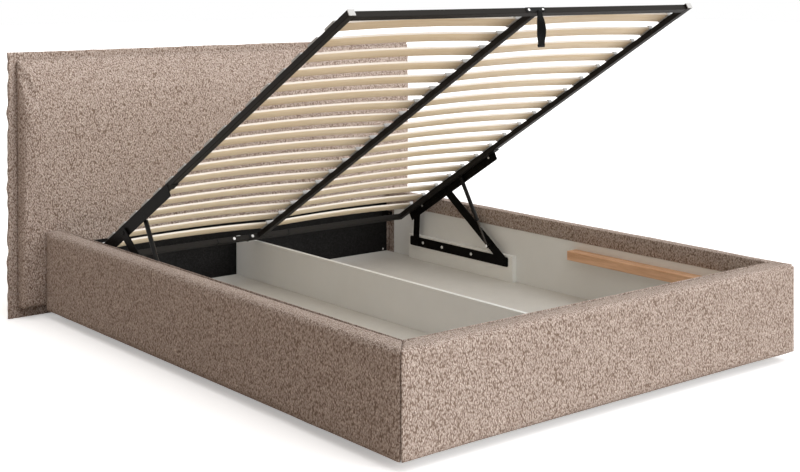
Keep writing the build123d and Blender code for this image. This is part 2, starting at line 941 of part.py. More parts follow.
# Bolts in the lower eyes, each with a domed nut on the inner side
with BuildPart() as strut_nut_right:
    turned(
        strut_foot_open,
        [
            (eye_face - strut_nut_height, strut_nut_radius),
            (eye_face, strut_pin_radius - press_clearance),
            (eye_face + strut_eye_thickness, 0),
        ],
    )
    nut_rim = strut_nut_right.edges().filter_by(GeomType.CIRCLE).sort_by(Axis.X)[0]
    fillet(nut_rim, strut_nut_height / 2)
strut_nut_right.part.label = "strut_nut_right"

with BuildPart() as strut_nut_left:
    mirror(strut_nut_right.part, about=Plane.YZ)
strut_nut_left.part.label = "strut_nut_left"

# Slats: bowed strips of plywood in two banks, from the centre beam to the side tubes
slat_outer_end = deck_half_width - slat_end_inset
slat_bottom = tube_height + holder_floor
slat_pitch = (deck_length - slat_first - slat_last_gap) / (slat_count - 1)
slat_lines = [slat_first + slat_pitch * number for number in range(slat_count)]
slat_planes = [
    Plane(origin=deck_point(0, line, 0), x_dir=(1, 0, 0), z_dir=-deck.y_dir)
    for line in slat_lines
]


def slat_outline(spare=0.0):
    """Section of a bowed slat, or of the space for it with some clearance all round."""
    start = slat_inner_end - spare
    end = slat_outer_end + spare
    middle = (start + end) / 2
    bottom = slat_bottom - spare
    top = slat_bottom + slat_thickness + spare
    with BuildLine(Plane.XY) as outline:
        ThreePointArc((start, bottom), (middle, bottom + slat_crown), (end, bottom))
        Line((end, bottom), (end, top))
        ThreePointArc((end, top), (middle, top + slat_crown), (start, top))
        Line((start, top), (start, bottom))
    make_face(outline.edges())


with BuildPart() as slats_right:
    with BuildSketch(*slat_planes):
        slat_outline()
    extrude(amount=slat_width / 2, both=True)
slats_right.part.label = "slats_right"

with BuildPart() as slats_left:
    mirror(slats_right.part, about=Plane.YZ)
slats_left.part.label = "slats_left"

holder_width = slat_width + 2 * (slat_clearance + holder_wall)


def holder_blocks(x_range):
    """One closed block for each slat, seated on the tube, with rounded upright edges."""
    for line in slat_lines:
        deck_block(
            x_range,
            (line - holder_width / 2, line + holder_width / 2),
            (tube_height, tube_height + holder_height),
        )


with BuildPart(deck) as side_holders_right:
    holder_blocks((tube_inner - holder_overhang, slat_outer_end + holder_outset))
    fillet(side_holders_right.edges().filter_by(Axis(deck.origin, deck.z_dir)), holder_corner)
    with BuildSketch(*slat_planes):
        slat_outline(slat_clearance)
    extrude(amount=slat_width / 2 + slat_clearance, both=True, mode=Mode.SUBTRACT)
side_holders_right.part.label = "side_holders_right"

with BuildPart() as side_holders_left:
    mirror(side_holders_right.part, about=Plane.YZ)
side_holders_left.part.label = "side_holders_left"

with BuildPart(deck) as centre_holders:
    holder_blocks((-holder_centre_reach, holder_centre_reach))
    fillet(centre_holders.edges().filter_by(Axis(deck.origin, deck.z_dir)), holder_corner)
    with BuildSketch(*slat_planes):
        slat_outline(slat_clearance)
        mirror(about=Plane.YZ)
    extrude(amount=slat_width / 2 + slat_clearance, both=True, mode=Mode.SUBTRACT)
centre_holders.part.label = "centre_holders"

# Pull strap: a plate with a hinge pin on the foot tube, and a loop of webbing that hangs from it
strap_axis_down = deck_length + strap_plate_thickness + strap_pin_offset
strap_middle = tube_height / 2
ear_start = strap_width / 2 + strap_gap
with BuildPart(deck) as strap_plate:
    deck_block(
        (
            strap_plate_centre - strap_plate_width / 2,
            strap_plate_centre + strap_plate_width / 2,
        ),
        (deck_length, deck_length + strap_plate_thickness),
        (strap_middle - strap_plate_height / 2, strap_middle + strap_plate_height / 2),
    )
    fillet(
        strap_plate.edges().filter_by(Axis(deck.origin, deck.y_dir)), strap_plate_corner
    )
    for side in (-1, 1):
        ear_range = sorted(
            (
                strap_centre + side * ear_start,
                strap_centre + side * (ear_start + strap_ear_thickness),
            )
        )
        deck_block(
            ear_range,
            (deck_length + strap_plate_thickness, strap_axis_down + strap_pin_radius),
            (strap_pin_height - strap_pin_radius, strap_pin_height + strap_pin_radius),
        )
    with Locations(Location((strap_centre, -strap_axis_down, strap_pin_height), (0, 90, 0))):
        Cylinder(strap_pin_radius, 2 * ear_start)
strap_plate.part.label = "strap_plate"

with BuildPart(deck) as strap_screws:
    for side in (-1, 1):
        seat = (
            strap_plate_centre + side * strap_screw_spacing / 2,
            -deck_length - strap_plate_thickness,
            strap_middle,
        )
        with Locations(Plane(origin=seat, z_dir=(0, -1, 0))):
            Cylinder(
                screw_head_radius,
                screw_head_height,
                align=(Align.CENTER, Align.CENTER, Align.MIN),
            )
strap_screws.part.label = "strap_screws"

# The loop hangs straight down: an eye round the pin, two legs and a rounded lower end
strap_pivot = deck_point(strap_centre, strap_axis_down, strap_pin_height)
strap_eye = strap_pin_radius + strap_gap
with BuildPart() as strap:
    hanging = Plane(
        origin=(strap_centre - strap_width / 2, strap_pivot.Y, strap_pivot.Z),
        x_dir=(0, 1, 0),
        z_dir=(1, 0, 0),
    )
    with BuildSketch(hanging):
        low = strap_loop_radius - strap_length
        with BuildSketch(mode=Mode.PRIVATE) as loop_face:
            Circle(strap_eye + strap_thickness)
            with Locations((0, low)):
                Circle(strap_loop_radius)
            make_hull()
        with BuildSketch(mode=Mode.PRIVATE) as loop_hole:
            with Locations((0, low)):
                Circle(strap_loop_radius - strap_thickness)
            with Locations((0, -strap_eye - 2 * strap_thickness)):
                Circle(strap_gap)
            make_hull()
        add(loop_face.sketch)
        add(loop_hole.sketch, mode=Mode.SUBTRACT)
        Circle(strap_eye, mode=Mode.SUBTRACT)
    extrude(amount=strap_width)
strap.part.label = "strap"

pieces = [
    headboard_panel, headboard_flange, headboard_cushion,
    side_rail_right, side_rail_left, foot_rail,
    side_board_right, side_board_left, foot_board,
    floor_bearers, glides, floor_right, floor_left, divider, head_panel,
    bracket_right, bracket_left, panel_screws, batten_right, batten_left,
    mount_board_right, mount_board_left, base_bar_right, base_bar_left,
    base_screws, base_rivets, rear_link_right, rear_link_left,
    front_link_right, front_link_left,
    side_tube_right, side_tube_left, foot_tube, head_tube, tube_collars, centre_beam,
    tube_plugs, frame_bolts, deck_plate_right, deck_plate_left, plate_screws, deck_rivets,
    strut_pins, strut_body_right, strut_body_left, strut_rod_right, strut_rod_left,
    strut_nut_right, strut_nut_left, slats_right, slats_left,
    side_holders_right, side_holders_left, centre_holders,
    strap_plate, strap_screws, strap,
]

os.makedirs("parts", exist_ok=True)
for piece in pieces:
    export_step(piece.part, f"parts/{piece.part.label}.step")
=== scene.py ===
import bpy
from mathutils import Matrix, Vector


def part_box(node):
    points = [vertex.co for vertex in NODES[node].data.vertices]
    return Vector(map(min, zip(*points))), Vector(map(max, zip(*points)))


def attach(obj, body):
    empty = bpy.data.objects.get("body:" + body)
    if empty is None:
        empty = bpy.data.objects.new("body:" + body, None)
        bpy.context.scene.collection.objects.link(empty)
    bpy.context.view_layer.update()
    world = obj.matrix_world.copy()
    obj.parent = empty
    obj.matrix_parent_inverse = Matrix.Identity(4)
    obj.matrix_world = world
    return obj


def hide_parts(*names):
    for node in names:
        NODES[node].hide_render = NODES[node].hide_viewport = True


bl_info = {
    "name": "Upholstered storage bed",
    "version": (1, 0, 0),
    "blender": (4, 5, 0),
    "location": "3D Viewport > Sidebar > Bed",
    "description": "Dresses the solid model of a storage bed in padding, fabric, wood and metal",
    "category": "Object",
}

import math

import bmesh
import bpy
from mathutils import Vector, noise

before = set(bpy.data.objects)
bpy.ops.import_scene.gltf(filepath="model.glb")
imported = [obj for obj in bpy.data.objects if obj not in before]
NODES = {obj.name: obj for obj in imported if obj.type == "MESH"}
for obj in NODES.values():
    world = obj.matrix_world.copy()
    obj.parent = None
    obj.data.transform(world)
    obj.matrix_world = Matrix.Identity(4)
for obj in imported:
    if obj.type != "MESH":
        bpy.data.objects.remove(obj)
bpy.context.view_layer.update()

# the lowest edge of the head tube, and the slope of the raised deck
DECK_ORIGIN = (0.0, 0.85636, 0.22019)
DECK_TILT = math.radians(31.32)
# each side's name, and its sign along X
SIDES = (("right", 1), ("left", -1))


def clean_box(name):
    """The low and the high corner of a node's box, to a hundredth of a millimetre."""
    return [[round(v, 5) for v in corner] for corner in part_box(name)]


# settings


def colour(name, description, default):
    return bpy.props.FloatVectorProperty(
        name=name, description=description, default=default,
        size=3, min=0.0, max=1.0, subtype="COLOR",
    )


def length(name, description, default):
    return bpy.props.FloatProperty(
        name=name, description=description, default=default,
        min=0.0, subtype="DISTANCE", unit="LENGTH",
    )


class BedFabric(bpy.types.PropertyGroup):
    """The cover fabric of the headboard and the rails."""

    loop: colour("Loop", "Colour of the wool loops", (0.475, 0.388, 0.338))
    fleck: colour("Fleck", "Colour of the lightest yarn", (0.74, 0.64, 0.58))
    # the pit colour is painted shade, standing for the shade in the hollows between the loops
    pit_shade: colour("Pit", "Colour between the loops", (0.175, 0.120, 0.090))
    loop_size: length("Loop size", "Width of one loop", 0.0040)


class BedFinishes(bpy.types.PropertyGroup):
    """The colours of the wood, boards, metal and plastic."""

    melamine: colour("Melamine", "Lining boards and divider", (0.79, 0.80, 0.78))
    mount: colour("Mount board", "Boards that carry the mechanism", (0.86, 0.87, 0.84))
    floor_board: colour("Floor board", "Storage floor", (0.60, 0.585, 0.545))
    chipboard: colour("Chipboard", "Headboard core", (0.52, 0.38, 0.24))
    oak: colour("Oak", "Battens", (0.80, 0.50, 0.31))
    birch: colour("Birch", "Face of the slats", (0.90, 0.77, 0.57))
    birch_edge: colour("Birch edge", "Foot-side edge of the slats", (0.66, 0.60, 0.53))
    black_board: colour("Black board", "Panel at the head", (0.0035, 0.003, 0.0027))
    # this black is set darker than the tube paint as painted shade, for plates and links that face away
    # from the light
    shaded_black_steel: colour("Shaded black steel", "Powder-coated plates and links", (0.0045, 0.004, 0.0035))
    tube_paint: colour("Tube paint", "Powder-coated tubes of the deck", (0.020, 0.018, 0.016))
    black_plastic: colour("Black plastic", "Collars, strap plate and glides", (0.003, 0.0028, 0.0025))
    white_plastic: colour("White plastic", "Tube plugs and slat holders", (0.46, 0.46, 0.45))
    zinc: colour("Zinc", "Screws, rivets and bolts", (0.88, 0.88, 0.86))
    webbing: colour("Webbing", "Pull strap", (0.002, 0.002, 0.002))


class BedPadding(bpy.types.PropertyGroup):
    """How the padding fills its cover."""

    cushion_voxel: length("Cushion grid", "Mesh size on the headboard", 0.010)
    rail_voxel: length("Rail grid", "Mesh size on the rails", 0.008)
    cushion_swell: length("Cushion swell", "Most that the cushion's cover moves out", 0.008)
    rail_swell: length("Rail swell", "Most that a rail's cover moves out", 0.004)
    pressure: bpy.props.FloatProperty(
        name="Pressure", description="Push of the padding on its cover", default=4.0, min=0.0,
    )


class BedStage(bpy.types.PropertyGroup):
    """The camera and the light."""

    camera_place: bpy.props.FloatVectorProperty(
        name="Camera place", description="Where the camera stands",
        default=(-3.2051, -3.8614, 1.3097), size=3, subtype="TRANSLATION", unit="LENGTH",
    )
    camera_turn: bpy.props.FloatProperty(
        name="Camera turn", description="Heading of the camera, from +Y towards -X",
        default=math.radians(-37.9985), subtype="ANGLE", unit="ROTATION",
    )
    lens: bpy.props.FloatProperty(
        name="Lens", description="Focal length", default=61.96, min=1.0,
        subtype="DISTANCE_CAMERA", unit="CAMERA",
    )
    shift: bpy.props.FloatVectorProperty(
        name="Shift", description="Shift of the picture", default=(0.0625, -0.3249), size=2,
    )
    lamp_strength: bpy.props.FloatProperty(
        name="Lamp strength", description="Strength of the wide lamp", default=2.45, min=0.0,
    )
    sky_strength: bpy.props.FloatProperty(
        name="Sky strength", description="Strength of the light from all round", default=0.22, min=0.0,
    )
    overhead_strength: bpy.props.FloatProperty(
        name="Overhead strength", description="Strength of the light from above", default=1.8, min=0.0,
    )
    low_light: colour("Low light", "Colour of the light from near the floor", (1.0, 0.80, 0.66))
    floor_colour: colour("Floor", "Colour of the floor", (0.48, 0.41, 0.35))


# node helpers


def shader_node(tree, kind, values=None, **settings):
    """A new node with its settings and the values of its inputs."""
    made = tree.nodes.new(kind)
    for name, value in settings.items():
        setattr(made, name, value)
    for name, value in (values or {}).items():
        if isinstance(value, bpy.types.NodeSocket):
            tree.links.new(value, made.inputs[name])
        else:
            made.inputs[name].default_value = value
    return made


def full(rgb):
    """A colour with its alpha."""
    return (rgb[0], rgb[1], rgb[2], 1.0)


def toned(rgb, gain, offset=0.0):
    """A colour times gain plus offset, no lighter than white, with its alpha."""
    return full([min(1.0, c * gain + offset) for c in rgb])


def mix_colours(tree, factor, first, second):
    """The colour between two colours, each a socket or a value."""
    made = tree.nodes.new("ShaderNodeMix")
    made.data_type = "RGBA"
    for socket, value in ((made.inputs[0], factor), (made.inputs[6], first), (made.inputs[7], second)):
        if isinstance(value, bpy.types.NodeSocket):
            tree.links.new(value, socket)
        else:
            socket.default_value = value
    return made.outputs[2]


def compute(tree, operation, *values, clamp=False):
    """The result of a Math node on sockets or numbers."""
    made = tree.nodes.new("ShaderNodeMath")
    made.operation = operation
    made.use_clamp = clamp
    for socket, value in zip(made.inputs, values):
        if isinstance(value, bpy.types.NodeSocket):
            tree.links.new(value, socket)
        else:
            socket.default_value = value
    return made.outputs[0]


def spread(tree, value, low, high, to_low=0.0, to_high=1.0):
    """Maps a value from one range to another, held at its ends."""
    made = shader_node(tree, "ShaderNodeMapRange", {
        "Value": value, "From Min": low, "From Max": high, "To Min": to_low, "To Max": to_high,
    })
    return made.outputs["Result"]


def start_group(name, inputs, outputs):
    """A shader node group with named sockets, and its input and output nodes."""
    tree = bpy.data.node_groups.new(name, "ShaderNodeTree")
    kinds = {"vector": "NodeSocketVector", "value": "NodeSocketFloat", "colour": "NodeSocketColor"}
    for label, kind, default in inputs:
        socket = tree.interface.new_socket(label, in_out="INPUT", socket_type=kinds[kind])
        if default is not None:
            socket.default_value = default
    for label, kind in outputs:
        tree.interface.new_socket(label, in_out="OUTPUT", socket_type=kinds[kind])
    return tree, tree.nodes.new("NodeGroupInput").outputs, tree.nodes.new("NodeGroupOutput").inputs


def place_group(tree, name, values):
    """Puts a node group in a material with its own values."""
    made = tree.nodes.new("ShaderNodeGroup")
    made.node_tree = bpy.data.node_groups[name]
    for label, value in values.items():
        if isinstance(value, bpy.types.NodeSocket):
            tree.links.new(value, made.inputs[label])
        else:
            made.inputs[label].default_value = value
    return made.outputs


def make_loop_weave():
    """Wool loops: round lumps with painted shade in the pits between them and light flecks on some of them.
    """
    tree, given, put = start_group(
        "Loop weave",
        [("Vector", "vector", None), ("Loops per metre", "value", 160.0), ("Loop", "colour", None),
         ("Fleck", "colour", None), ("Pit", "colour", None)],
        [("Color", "colour"), ("Height", "value"), ("Roughness", "value")],
    )
    lump_share, strand_share, clump_share = 0.80, 0.28, 0.05
    strands_per_loop = 2.7
    wander = shader_node(tree, "ShaderNodeTexNoise", {
        "Vector": given["Vector"], "Scale": 70.0, "Detail": 1.0,
    })
    drift = shader_node(tree, "ShaderNodeVectorMath", {
        0: wander.outputs["Color"], 1: (0.5, 0.5, 0.5),
    }, operation="SUBTRACT")
    drift_scaled = shader_node(tree, "ShaderNodeVectorMath", {
        0: drift.outputs[0], "Scale": 0.009,
    }, operation="SCALE")
    moved = shader_node(tree, "ShaderNodeVectorMath", {
        0: given["Vector"], 1: drift_scaled.outputs[0],
    }, operation="ADD")
    drawn = shader_node(tree, "ShaderNodeMapping", {"Vector": moved.outputs[0], "Scale": (1.0, 1.0, 0.48)})
    loops = shader_node(tree, "ShaderNodeTexVoronoi", {
        "Vector": drawn.outputs[0], "Scale": given["Loops per metre"], "Randomness": 1.0,
    }, feature="F1")
    strand_scale = compute(tree, "MULTIPLY", given["Loops per metre"], strands_per_loop)
    strands = shader_node(tree, "ShaderNodeTexNoise", {
        "Vector": drawn.outputs[0], "Scale": strand_scale, "Detail": 3.0, "Roughness": 0.6,
    })
    clumps = shader_node(tree, "ShaderNodeTexNoise", {
        "Vector": given["Vector"], "Scale": 21.0, "Detail": 3.0, "Roughness": 0.55,
    })
    lump = compute(tree, "SUBTRACT", 1.0, loops.outputs["Distance"])
    height = compute(tree, "ADD", compute(tree, "MULTIPLY", lump, lump_share),
                     compute(tree, "MULTIPLY", strands.outputs["Fac"], strand_share))
    height = compute(tree, "ADD", height, compute(tree, "MULTIPLY", clumps.outputs["Fac"], clump_share))
    tree.links.new(height, put["Height"])
    split = shader_node(tree, "ShaderNodeSeparateColor", {"Color": loops.outputs["Color"]})
    # painted shade: the lower the weave, the more it takes the dark pit colour
    pit_shade_mask = spread(tree, height, 0.36, 0.66)
    base = mix_colours(tree, pit_shade_mask, given["Pit"], given["Loop"])
    light = compute(tree, "MULTIPLY", spread(tree, split.outputs[0], 0.50, 0.95),
                    spread(tree, height, 0.60, 0.84))
    tree.links.new(mix_colours(tree, light, base, given["Fleck"]), put["Color"])
    tree.links.new(spread(tree, height, 0.4, 0.8, 0.98, 0.86), put["Roughness"])


def make_wood_grain():
    """Lengthwise fibres with slow bands and small dark pores. The grain runs along X of its vector."""
    tree, given, put = start_group(
        "Wood grain",
        [("Vector", "vector", None), ("Fineness", "value", 1.0), ("Light", "colour", None),
         ("Dark", "colour", None), ("Figure", "value", 0.5)],
        [("Color", "colour"), ("Height", "value"), ("Roughness", "value")],
    )
    pore_depth = 0.38
    scaled = shader_node(tree, "ShaderNodeVectorMath", {
        0: given["Vector"], "Scale": given["Fineness"],
    }, operation="SCALE")
    long_way = shader_node(tree, "ShaderNodeMapping", {
        "Vector": scaled.outputs[0], "Scale": (2.2, 38.0, 38.0),
    })
    bands = shader_node(tree, "ShaderNodeTexNoise", {
        "Vector": long_way.outputs[0], "Scale": 1.0, "Detail": 4.0, "Roughness": 0.55, "Distortion": 0.35,
    })
    fibre_way = shader_node(tree, "ShaderNodeMapping", {
        "Vector": scaled.outputs[0], "Scale": (14.0, 520.0, 520.0),
    })
    fibres = shader_node(tree, "ShaderNodeTexNoise", {
        "Vector": fibre_way.outputs[0], "Scale": 1.0, "Detail": 2.0, "Roughness": 0.5,
    })
    figure = compute(tree, "MULTIPLY", spread(tree, bands.outputs["Fac"], 0.32, 0.68), given["Figure"])
    pores = compute(tree, "MULTIPLY", spread(tree, fibres.outputs["Fac"], 0.45, 0.75), pore_depth)
    factor = compute(tree, "ADD", figure, pores, clamp=True)
    tree.links.new(mix_colours(tree, factor, given["Light"], given["Dark"]), put["Color"])
    tree.links.new(compute(tree, "SUBTRACT", 1.0, pores), put["Height"])
    tree.links.new(spread(tree, factor, 0.0, 1.0, 0.42, 0.60), put["Roughness"])


def make_edge_wear_and_highlight():
    """A mask that is bright on sharp edges, broken up by noise; the edges it lightens stand partly for wear
    and partly for a painted highlight.
    """
    tree, given, put = start_group(
        "Edge wear",
        [("Vector", "vector", None), ("Radius", "value", 0.0015), ("Amount", "value", 0.5)],
        [("Mask", "value"), ("Normal", "vector")],
    )
    rounded = shader_node(tree, "ShaderNodeBevel", {"Radius": given["Radius"]}, samples=4)
    facing = shader_node(tree, "ShaderNodeNewGeometry")
    turn = shader_node(tree, "ShaderNodeVectorMath", {
        0: rounded.outputs["Normal"], 1: facing.outputs["Normal"],
    }, operation="DOT_PRODUCT")
    edge = spread(tree, turn.outputs["Value"], 0.98, 0.80)
    edge_breakup = shader_node(tree, "ShaderNodeTexNoise", {
        "Vector": given["Vector"], "Scale": 90.0, "Detail": 4.0,
    })
    broken = compute(tree, "MULTIPLY", edge, spread(tree, edge_breakup.outputs["Fac"], 0.40, 0.62))
    tree.links.new(compute(tree, "MULTIPLY", broken, given["Amount"]), put["Mask"])
    tree.links.new(rounded.outputs["Normal"], put["Normal"])


def make_settled_dust():
    """Slow change of shade, finer specks and fine marks, for plain painted or coated surfaces."""
    tree, given, put = start_group(
        "Settled dust",
        [("Vector", "vector", None), ("Patch size", "value", 6.0), ("Speck size", "value", 260.0)],
        [("Patch", "value"), ("Speck", "value"), ("Height", "value")],
    )
    patches = shader_node(tree, "ShaderNodeTexNoise", {
        "Vector": given["Vector"], "Scale": given["Patch size"], "Detail": 5.0, "Roughness": 0.6,
    })
    specks = shader_node(tree, "ShaderNodeTexNoise", {
        "Vector": given["Vector"], "Scale": given["Speck size"], "Detail": 2.0,
    })
    tree.links.new(spread(tree, patches.outputs["Fac"], 0.30, 0.70), put["Patch"])
    tree.links.new(spread(tree, specks.outputs["Fac"], 0.42, 0.70), put["Speck"])
    tree.links.new(compute(tree, "ADD", patches.outputs["Fac"], specks.outputs["Fac"]), put["Height"])


# materials


def start_material(name, **plain):
    """A new material, its node tree and its Principled shader with plain values."""
    material = bpy.data.materials.new(name)
    material.use_nodes = True
    tree = material.node_tree
    shader = tree.nodes["Principled BSDF"]
    for label, value in plain.items():
        shader.inputs[label.replace("_", " ")].default_value = value
    return material, tree, shader


def object_vector(tree):
    """The Object coordinates of the piece that wears the material."""
    return shader_node(tree, "ShaderNodeTexCoord").outputs["Object"]


def deck_vector(tree):
    """Coordinates of the raised deck: across it, up it towards the head, and out of its slats."""
    turned = shader_node(tree, "ShaderNodeMapping", {
        "Vector": object_vector(tree), "Location": DECK_ORIGIN, "Rotation": (-DECK_TILT, 0.0, 0.0),
    }, vector_type="TEXTURE")
    return turned.outputs[0]


def add_bump(tree, shader, height, distance, strength, normal=None):
    """Feeds a height, and a normal where one is given, to the shader's normal."""
    values = {"Height": height, "Distance": distance, "Strength": strength}
    if normal is not None:
        values["Normal"] = normal
    bump = shader_node(tree, "ShaderNodeBump", values)
    tree.links.new(bump.outputs["Normal"], shader.inputs["Normal"])


def make_boucle(name, settings):
    """The looped wool cloth of the cover."""
    material, tree, shader = start_material(
        name, Sheen_Weight=0.25, Sheen_Roughness=0.6, Sheen_Tint=(0.85, 0.74, 0.66, 1.0),
        Specular_IOR_Level=0.15,
    )
    weave = place_group(tree, "Loop weave", {
        "Vector": object_vector(tree), "Loops per metre": 1.0 / settings.loop_size,
        "Loop": full(settings.loop), "Fleck": full(settings.fleck), "Pit": full(settings.pit_shade),
    })
    tree.links.new(weave["Color"], shader.inputs["Base Color"])
    tree.links.new(weave["Roughness"], shader.inputs["Roughness"])
    add_bump(tree, shader, weave["Height"], distance=0.0044, strength=1.0)
    return material


def make_board(name, rgb, roughness, patch=0.06, speck=0.03, edge=0.4, bump=0.00008, gloss=0.4):
    """A flat coated board: slow shading, fine specks, and lighter edges that are partly wear and partly a
    painted highlight.
    """
    material, tree, shader = start_material(name, Specular_IOR_Level=gloss)
    where = object_vector(tree)
    dust = place_group(tree, "Settled dust", {"Vector": where})
    edge_wear_and_highlight = place_group(tree, "Edge wear", {"Vector": where, "Radius": 0.0012, "Amount": edge})
    darker = mix_colours(tree, compute(tree, "MULTIPLY", dust["Patch"], patch), full(rgb), toned(rgb, 0.35))
    dotted = mix_colours(tree, compute(tree, "MULTIPLY", dust["Speck"], speck), darker,
                         toned(rgb, 1.5, 0.02))
    edged = mix_colours(tree, edge_wear_and_highlight["Mask"], dotted, toned(rgb, 1.12, 0.05))
    tree.links.new(edged, shader.inputs["Base Color"])
    tree.links.new(spread(tree, dust["Patch"], 0.0, 1.0, roughness - 0.06, roughness + 0.08),
                   shader.inputs["Roughness"])
    add_bump(tree, shader, dust["Height"], distance=bump, strength=0.6, normal=edge_wear_and_highlight["Normal"])
    return material


def make_wood(name, light, dark, fineness, figure, along, on_deck=False):
    """Wood whose grain runs along the axis named by along, on the raised deck or off it."""
    material, tree, shader = start_material(name, Specular_IOR_Level=0.4)
    where = deck_vector(tree) if on_deck else object_vector(tree)
    turn = {"x": (0.0, 0.0, 0.0), "y": (0.0, 0.0, math.radians(90.0))}[along]
    turned = shader_node(tree, "ShaderNodeMapping", {"Vector": where, "Rotation": turn})
    grain = place_group(tree, "Wood grain", {
        "Vector": turned.outputs[0], "Fineness": fineness, "Light": full(light), "Dark": full(dark),
        "Figure": figure,
    })
    tree.links.new(grain["Color"], shader.inputs["Base Color"])
    tree.links.new(grain["Roughness"], shader.inputs["Roughness"])
    add_bump(tree, shader, grain["Height"], distance=0.00025, strength=0.6)
    return material, tree, shader, grain, where


def make_slat_birch(finishes):
    """Birch slats: warm faces, pale foot-side edges, and painted shade that darkens their ends towards
    their holders, most at each bank's right end as a painted shadow of the beam or the tube.
    """
    end_painted_shade, right_end_painted_shadow = 0.12, 0.42
    light = finishes.birch
    dark = [c * f for c, f in zip(light, (0.80, 0.72, 0.60))]
    material, tree, shader, grain, where = make_wood(
        "slat birch", light, dark, fineness=1.0, figure=0.55, along="x", on_deck=True,
    )
    parts = shader_node(tree, "ShaderNodeSeparateXYZ", {"Vector": where})
    facing = shader_node(tree, "ShaderNodeNewGeometry")
    level = shader_node(tree, "ShaderNodeMapping", {
        "Vector": facing.outputs["Normal"], "Rotation": (-DECK_TILT, 0.0, 0.0),
    }, vector_type="TEXTURE")
    turned = shader_node(tree, "ShaderNodeSeparateXYZ", {"Vector": level.outputs[0]})
    edge = spread(tree, compute(tree, "ABSOLUTE", turned.outputs["Y"]), 0.35, 0.65)
    edged = mix_colours(tree, edge, grain["Color"], full(finishes.birch_edge))
    across = parts.outputs["X"]
    # painted shade: the slats darken towards both ends, and more at each bank's right end as a painted
    # shadow of the centre beam or the right tube
    from_middle = compute(tree, "ABSOLUTE", across)
    end = compute(tree, "MAXIMUM", spread(tree, from_middle, 0.66, 0.765),
                  spread(tree, from_middle, 0.10, 0.012))
    left_bank_shadow_mask = compute(tree, "MINIMUM", spread(tree, across, -0.135, -0.02),
                            spread(tree, across, 0.0, -0.001))
    right_end_shadow_mask = compute(tree, "MAXIMUM", spread(tree, across, 0.63, 0.75), left_bank_shadow_mask)
    amount = compute(tree, "ADD", compute(tree, "MULTIPLY", end, end_painted_shade),
                     compute(tree, "MULTIPLY", right_end_shadow_mask, right_end_painted_shadow))
    tree.links.new(mix_colours(tree, amount, edged, toned(dark, 0.3)), shader.inputs["Base Color"])
    return material


def make_metal(name, rgb, roughness, edge_wear_and_highlight_rgb, edge_wear_and_highlight, metallic=0.0, coat=0.0, speck=0.15, gloss=0.5):
    """Painted, plated or bare metal, or plastic, with shade changes, and lighter edges that are partly worn
    and partly a painted highlight.
    """
    material, tree, shader = start_material(
        name, Metallic=metallic, Coat_Weight=coat, Coat_Roughness=0.18, Specular_IOR_Level=gloss,
    )
    where = object_vector(tree)
    dust = place_group(tree, "Settled dust", {"Vector": where, "Patch size": 14.0, "Speck size": 620.0})
    edges = place_group(tree, "Edge wear", {"Vector": where, "Radius": 0.0011, "Amount": edge_wear_and_highlight})
    dulled = mix_colours(tree, compute(tree, "MULTIPLY", dust["Patch"], speck), full(rgb),
                         toned(rgb, 0.5, 0.018))
    edged = mix_colours(tree, edges["Mask"], dulled, full(edge_wear_and_highlight_rgb))
    tree.links.new(edged, shader.inputs["Base Color"])
    tree.links.new(spread(tree, dust["Speck"], 0.0, 1.0, roughness - 0.05, roughness + 0.10),
                   shader.inputs["Roughness"])
    add_bump(tree, shader, dust["Height"], distance=0.00005, strength=0.5, normal=edges["Normal"])
    return material


def make_webbing(name, rgb):
    """Woven webbing: slanting ribs laid along the ribbon by its UV map."""
    material, tree, shader = start_material(
        name, Coat_Weight=0.02, Coat_Roughness=0.25, Specular_IOR_Level=0.04,
    )
    where = shader_node(tree, "ShaderNodeTexCoord").outputs["UV"]
    ribs = shader_node(tree, "ShaderNodeTexWave", {
        "Vector": where, "Scale": 30.0, "Distortion": 0.4, "Detail": 1.0,
    }, wave_type="BANDS", bands_direction="DIAGONAL")
    light = mix_colours(tree, ribs.outputs["Fac"], full(rgb), toned(rgb, 2.0, 0.002))
    tree.links.new(light, shader.inputs["Base Color"])
    tree.links.new(spread(tree, ribs.outputs["Fac"], 0.0, 1.0, 0.50, 0.30), shader.inputs["Roughness"])
    add_bump(tree, shader, ribs.outputs["Fac"], distance=0.0006, strength=0.8)
    return material


# mesh helpers

# an edge is taken for the one looked for when its middle is this near
EDGE_TOLERANCE = 0.0008
# the frames that the padding's simulation runs for
SWELL_FRAMES = 20


def clear_selection():
    """Leaves edit mode and deselects all pieces."""
    if bpy.context.object is not None and bpy.context.object.mode != "OBJECT":
        bpy.ops.object.mode_set(mode="OBJECT")
    bpy.ops.object.select_all(action="DESELECT")


def make_active(piece):
    """Selects one piece alone."""
    clear_selection()
    piece.select_set(True)
    bpy.context.view_layer.objects.active = piece


def settle(piece, name):
    """Names a piece and puts its place into its mesh."""
    make_active(piece)
    bpy.ops.object.transform_apply(location=True, rotation=True, scale=True)
    piece.name = name
    piece.data.name = name
    return piece


def start_block(name, low, high):
    """A box between two corners, to be shaped further."""
    clear_selection()
    bpy.ops.mesh.primitive_cube_add(size=1.0)
    piece = bpy.context.object
    piece.location = [(a + b) / 2 for a, b in zip(low, high)]
    piece.scale = [b - a for a, b in zip(low, high)]
    return settle(piece, name)


def choose(piece, mode, test):
    """In edit mode, selects the faces, edges or vertices that pass the test."""
    make_active(piece)
    bpy.ops.object.mode_set(mode="EDIT")
    bpy.ops.mesh.select_mode(type=mode)
    bpy.ops.mesh.select_all(action="DESELECT")
    mesh = bmesh.from_edit_mesh(piece.data)
    mesh.normal_update()
    found = 0
    for part in {"FACE": mesh.faces, "EDGE": mesh.edges, "VERT": mesh.verts}[mode]:
        if test(part):
            part.select_set(True)
            found += 1
    mesh.select_flush_mode()
    bmesh.update_edit_mesh(piece.data)
    if found == 0:
        raise RuntimeError(f"nothing to shape on {piece.name}")


def leave_edit_mode():
    bpy.ops.object.mode_set(mode="OBJECT")


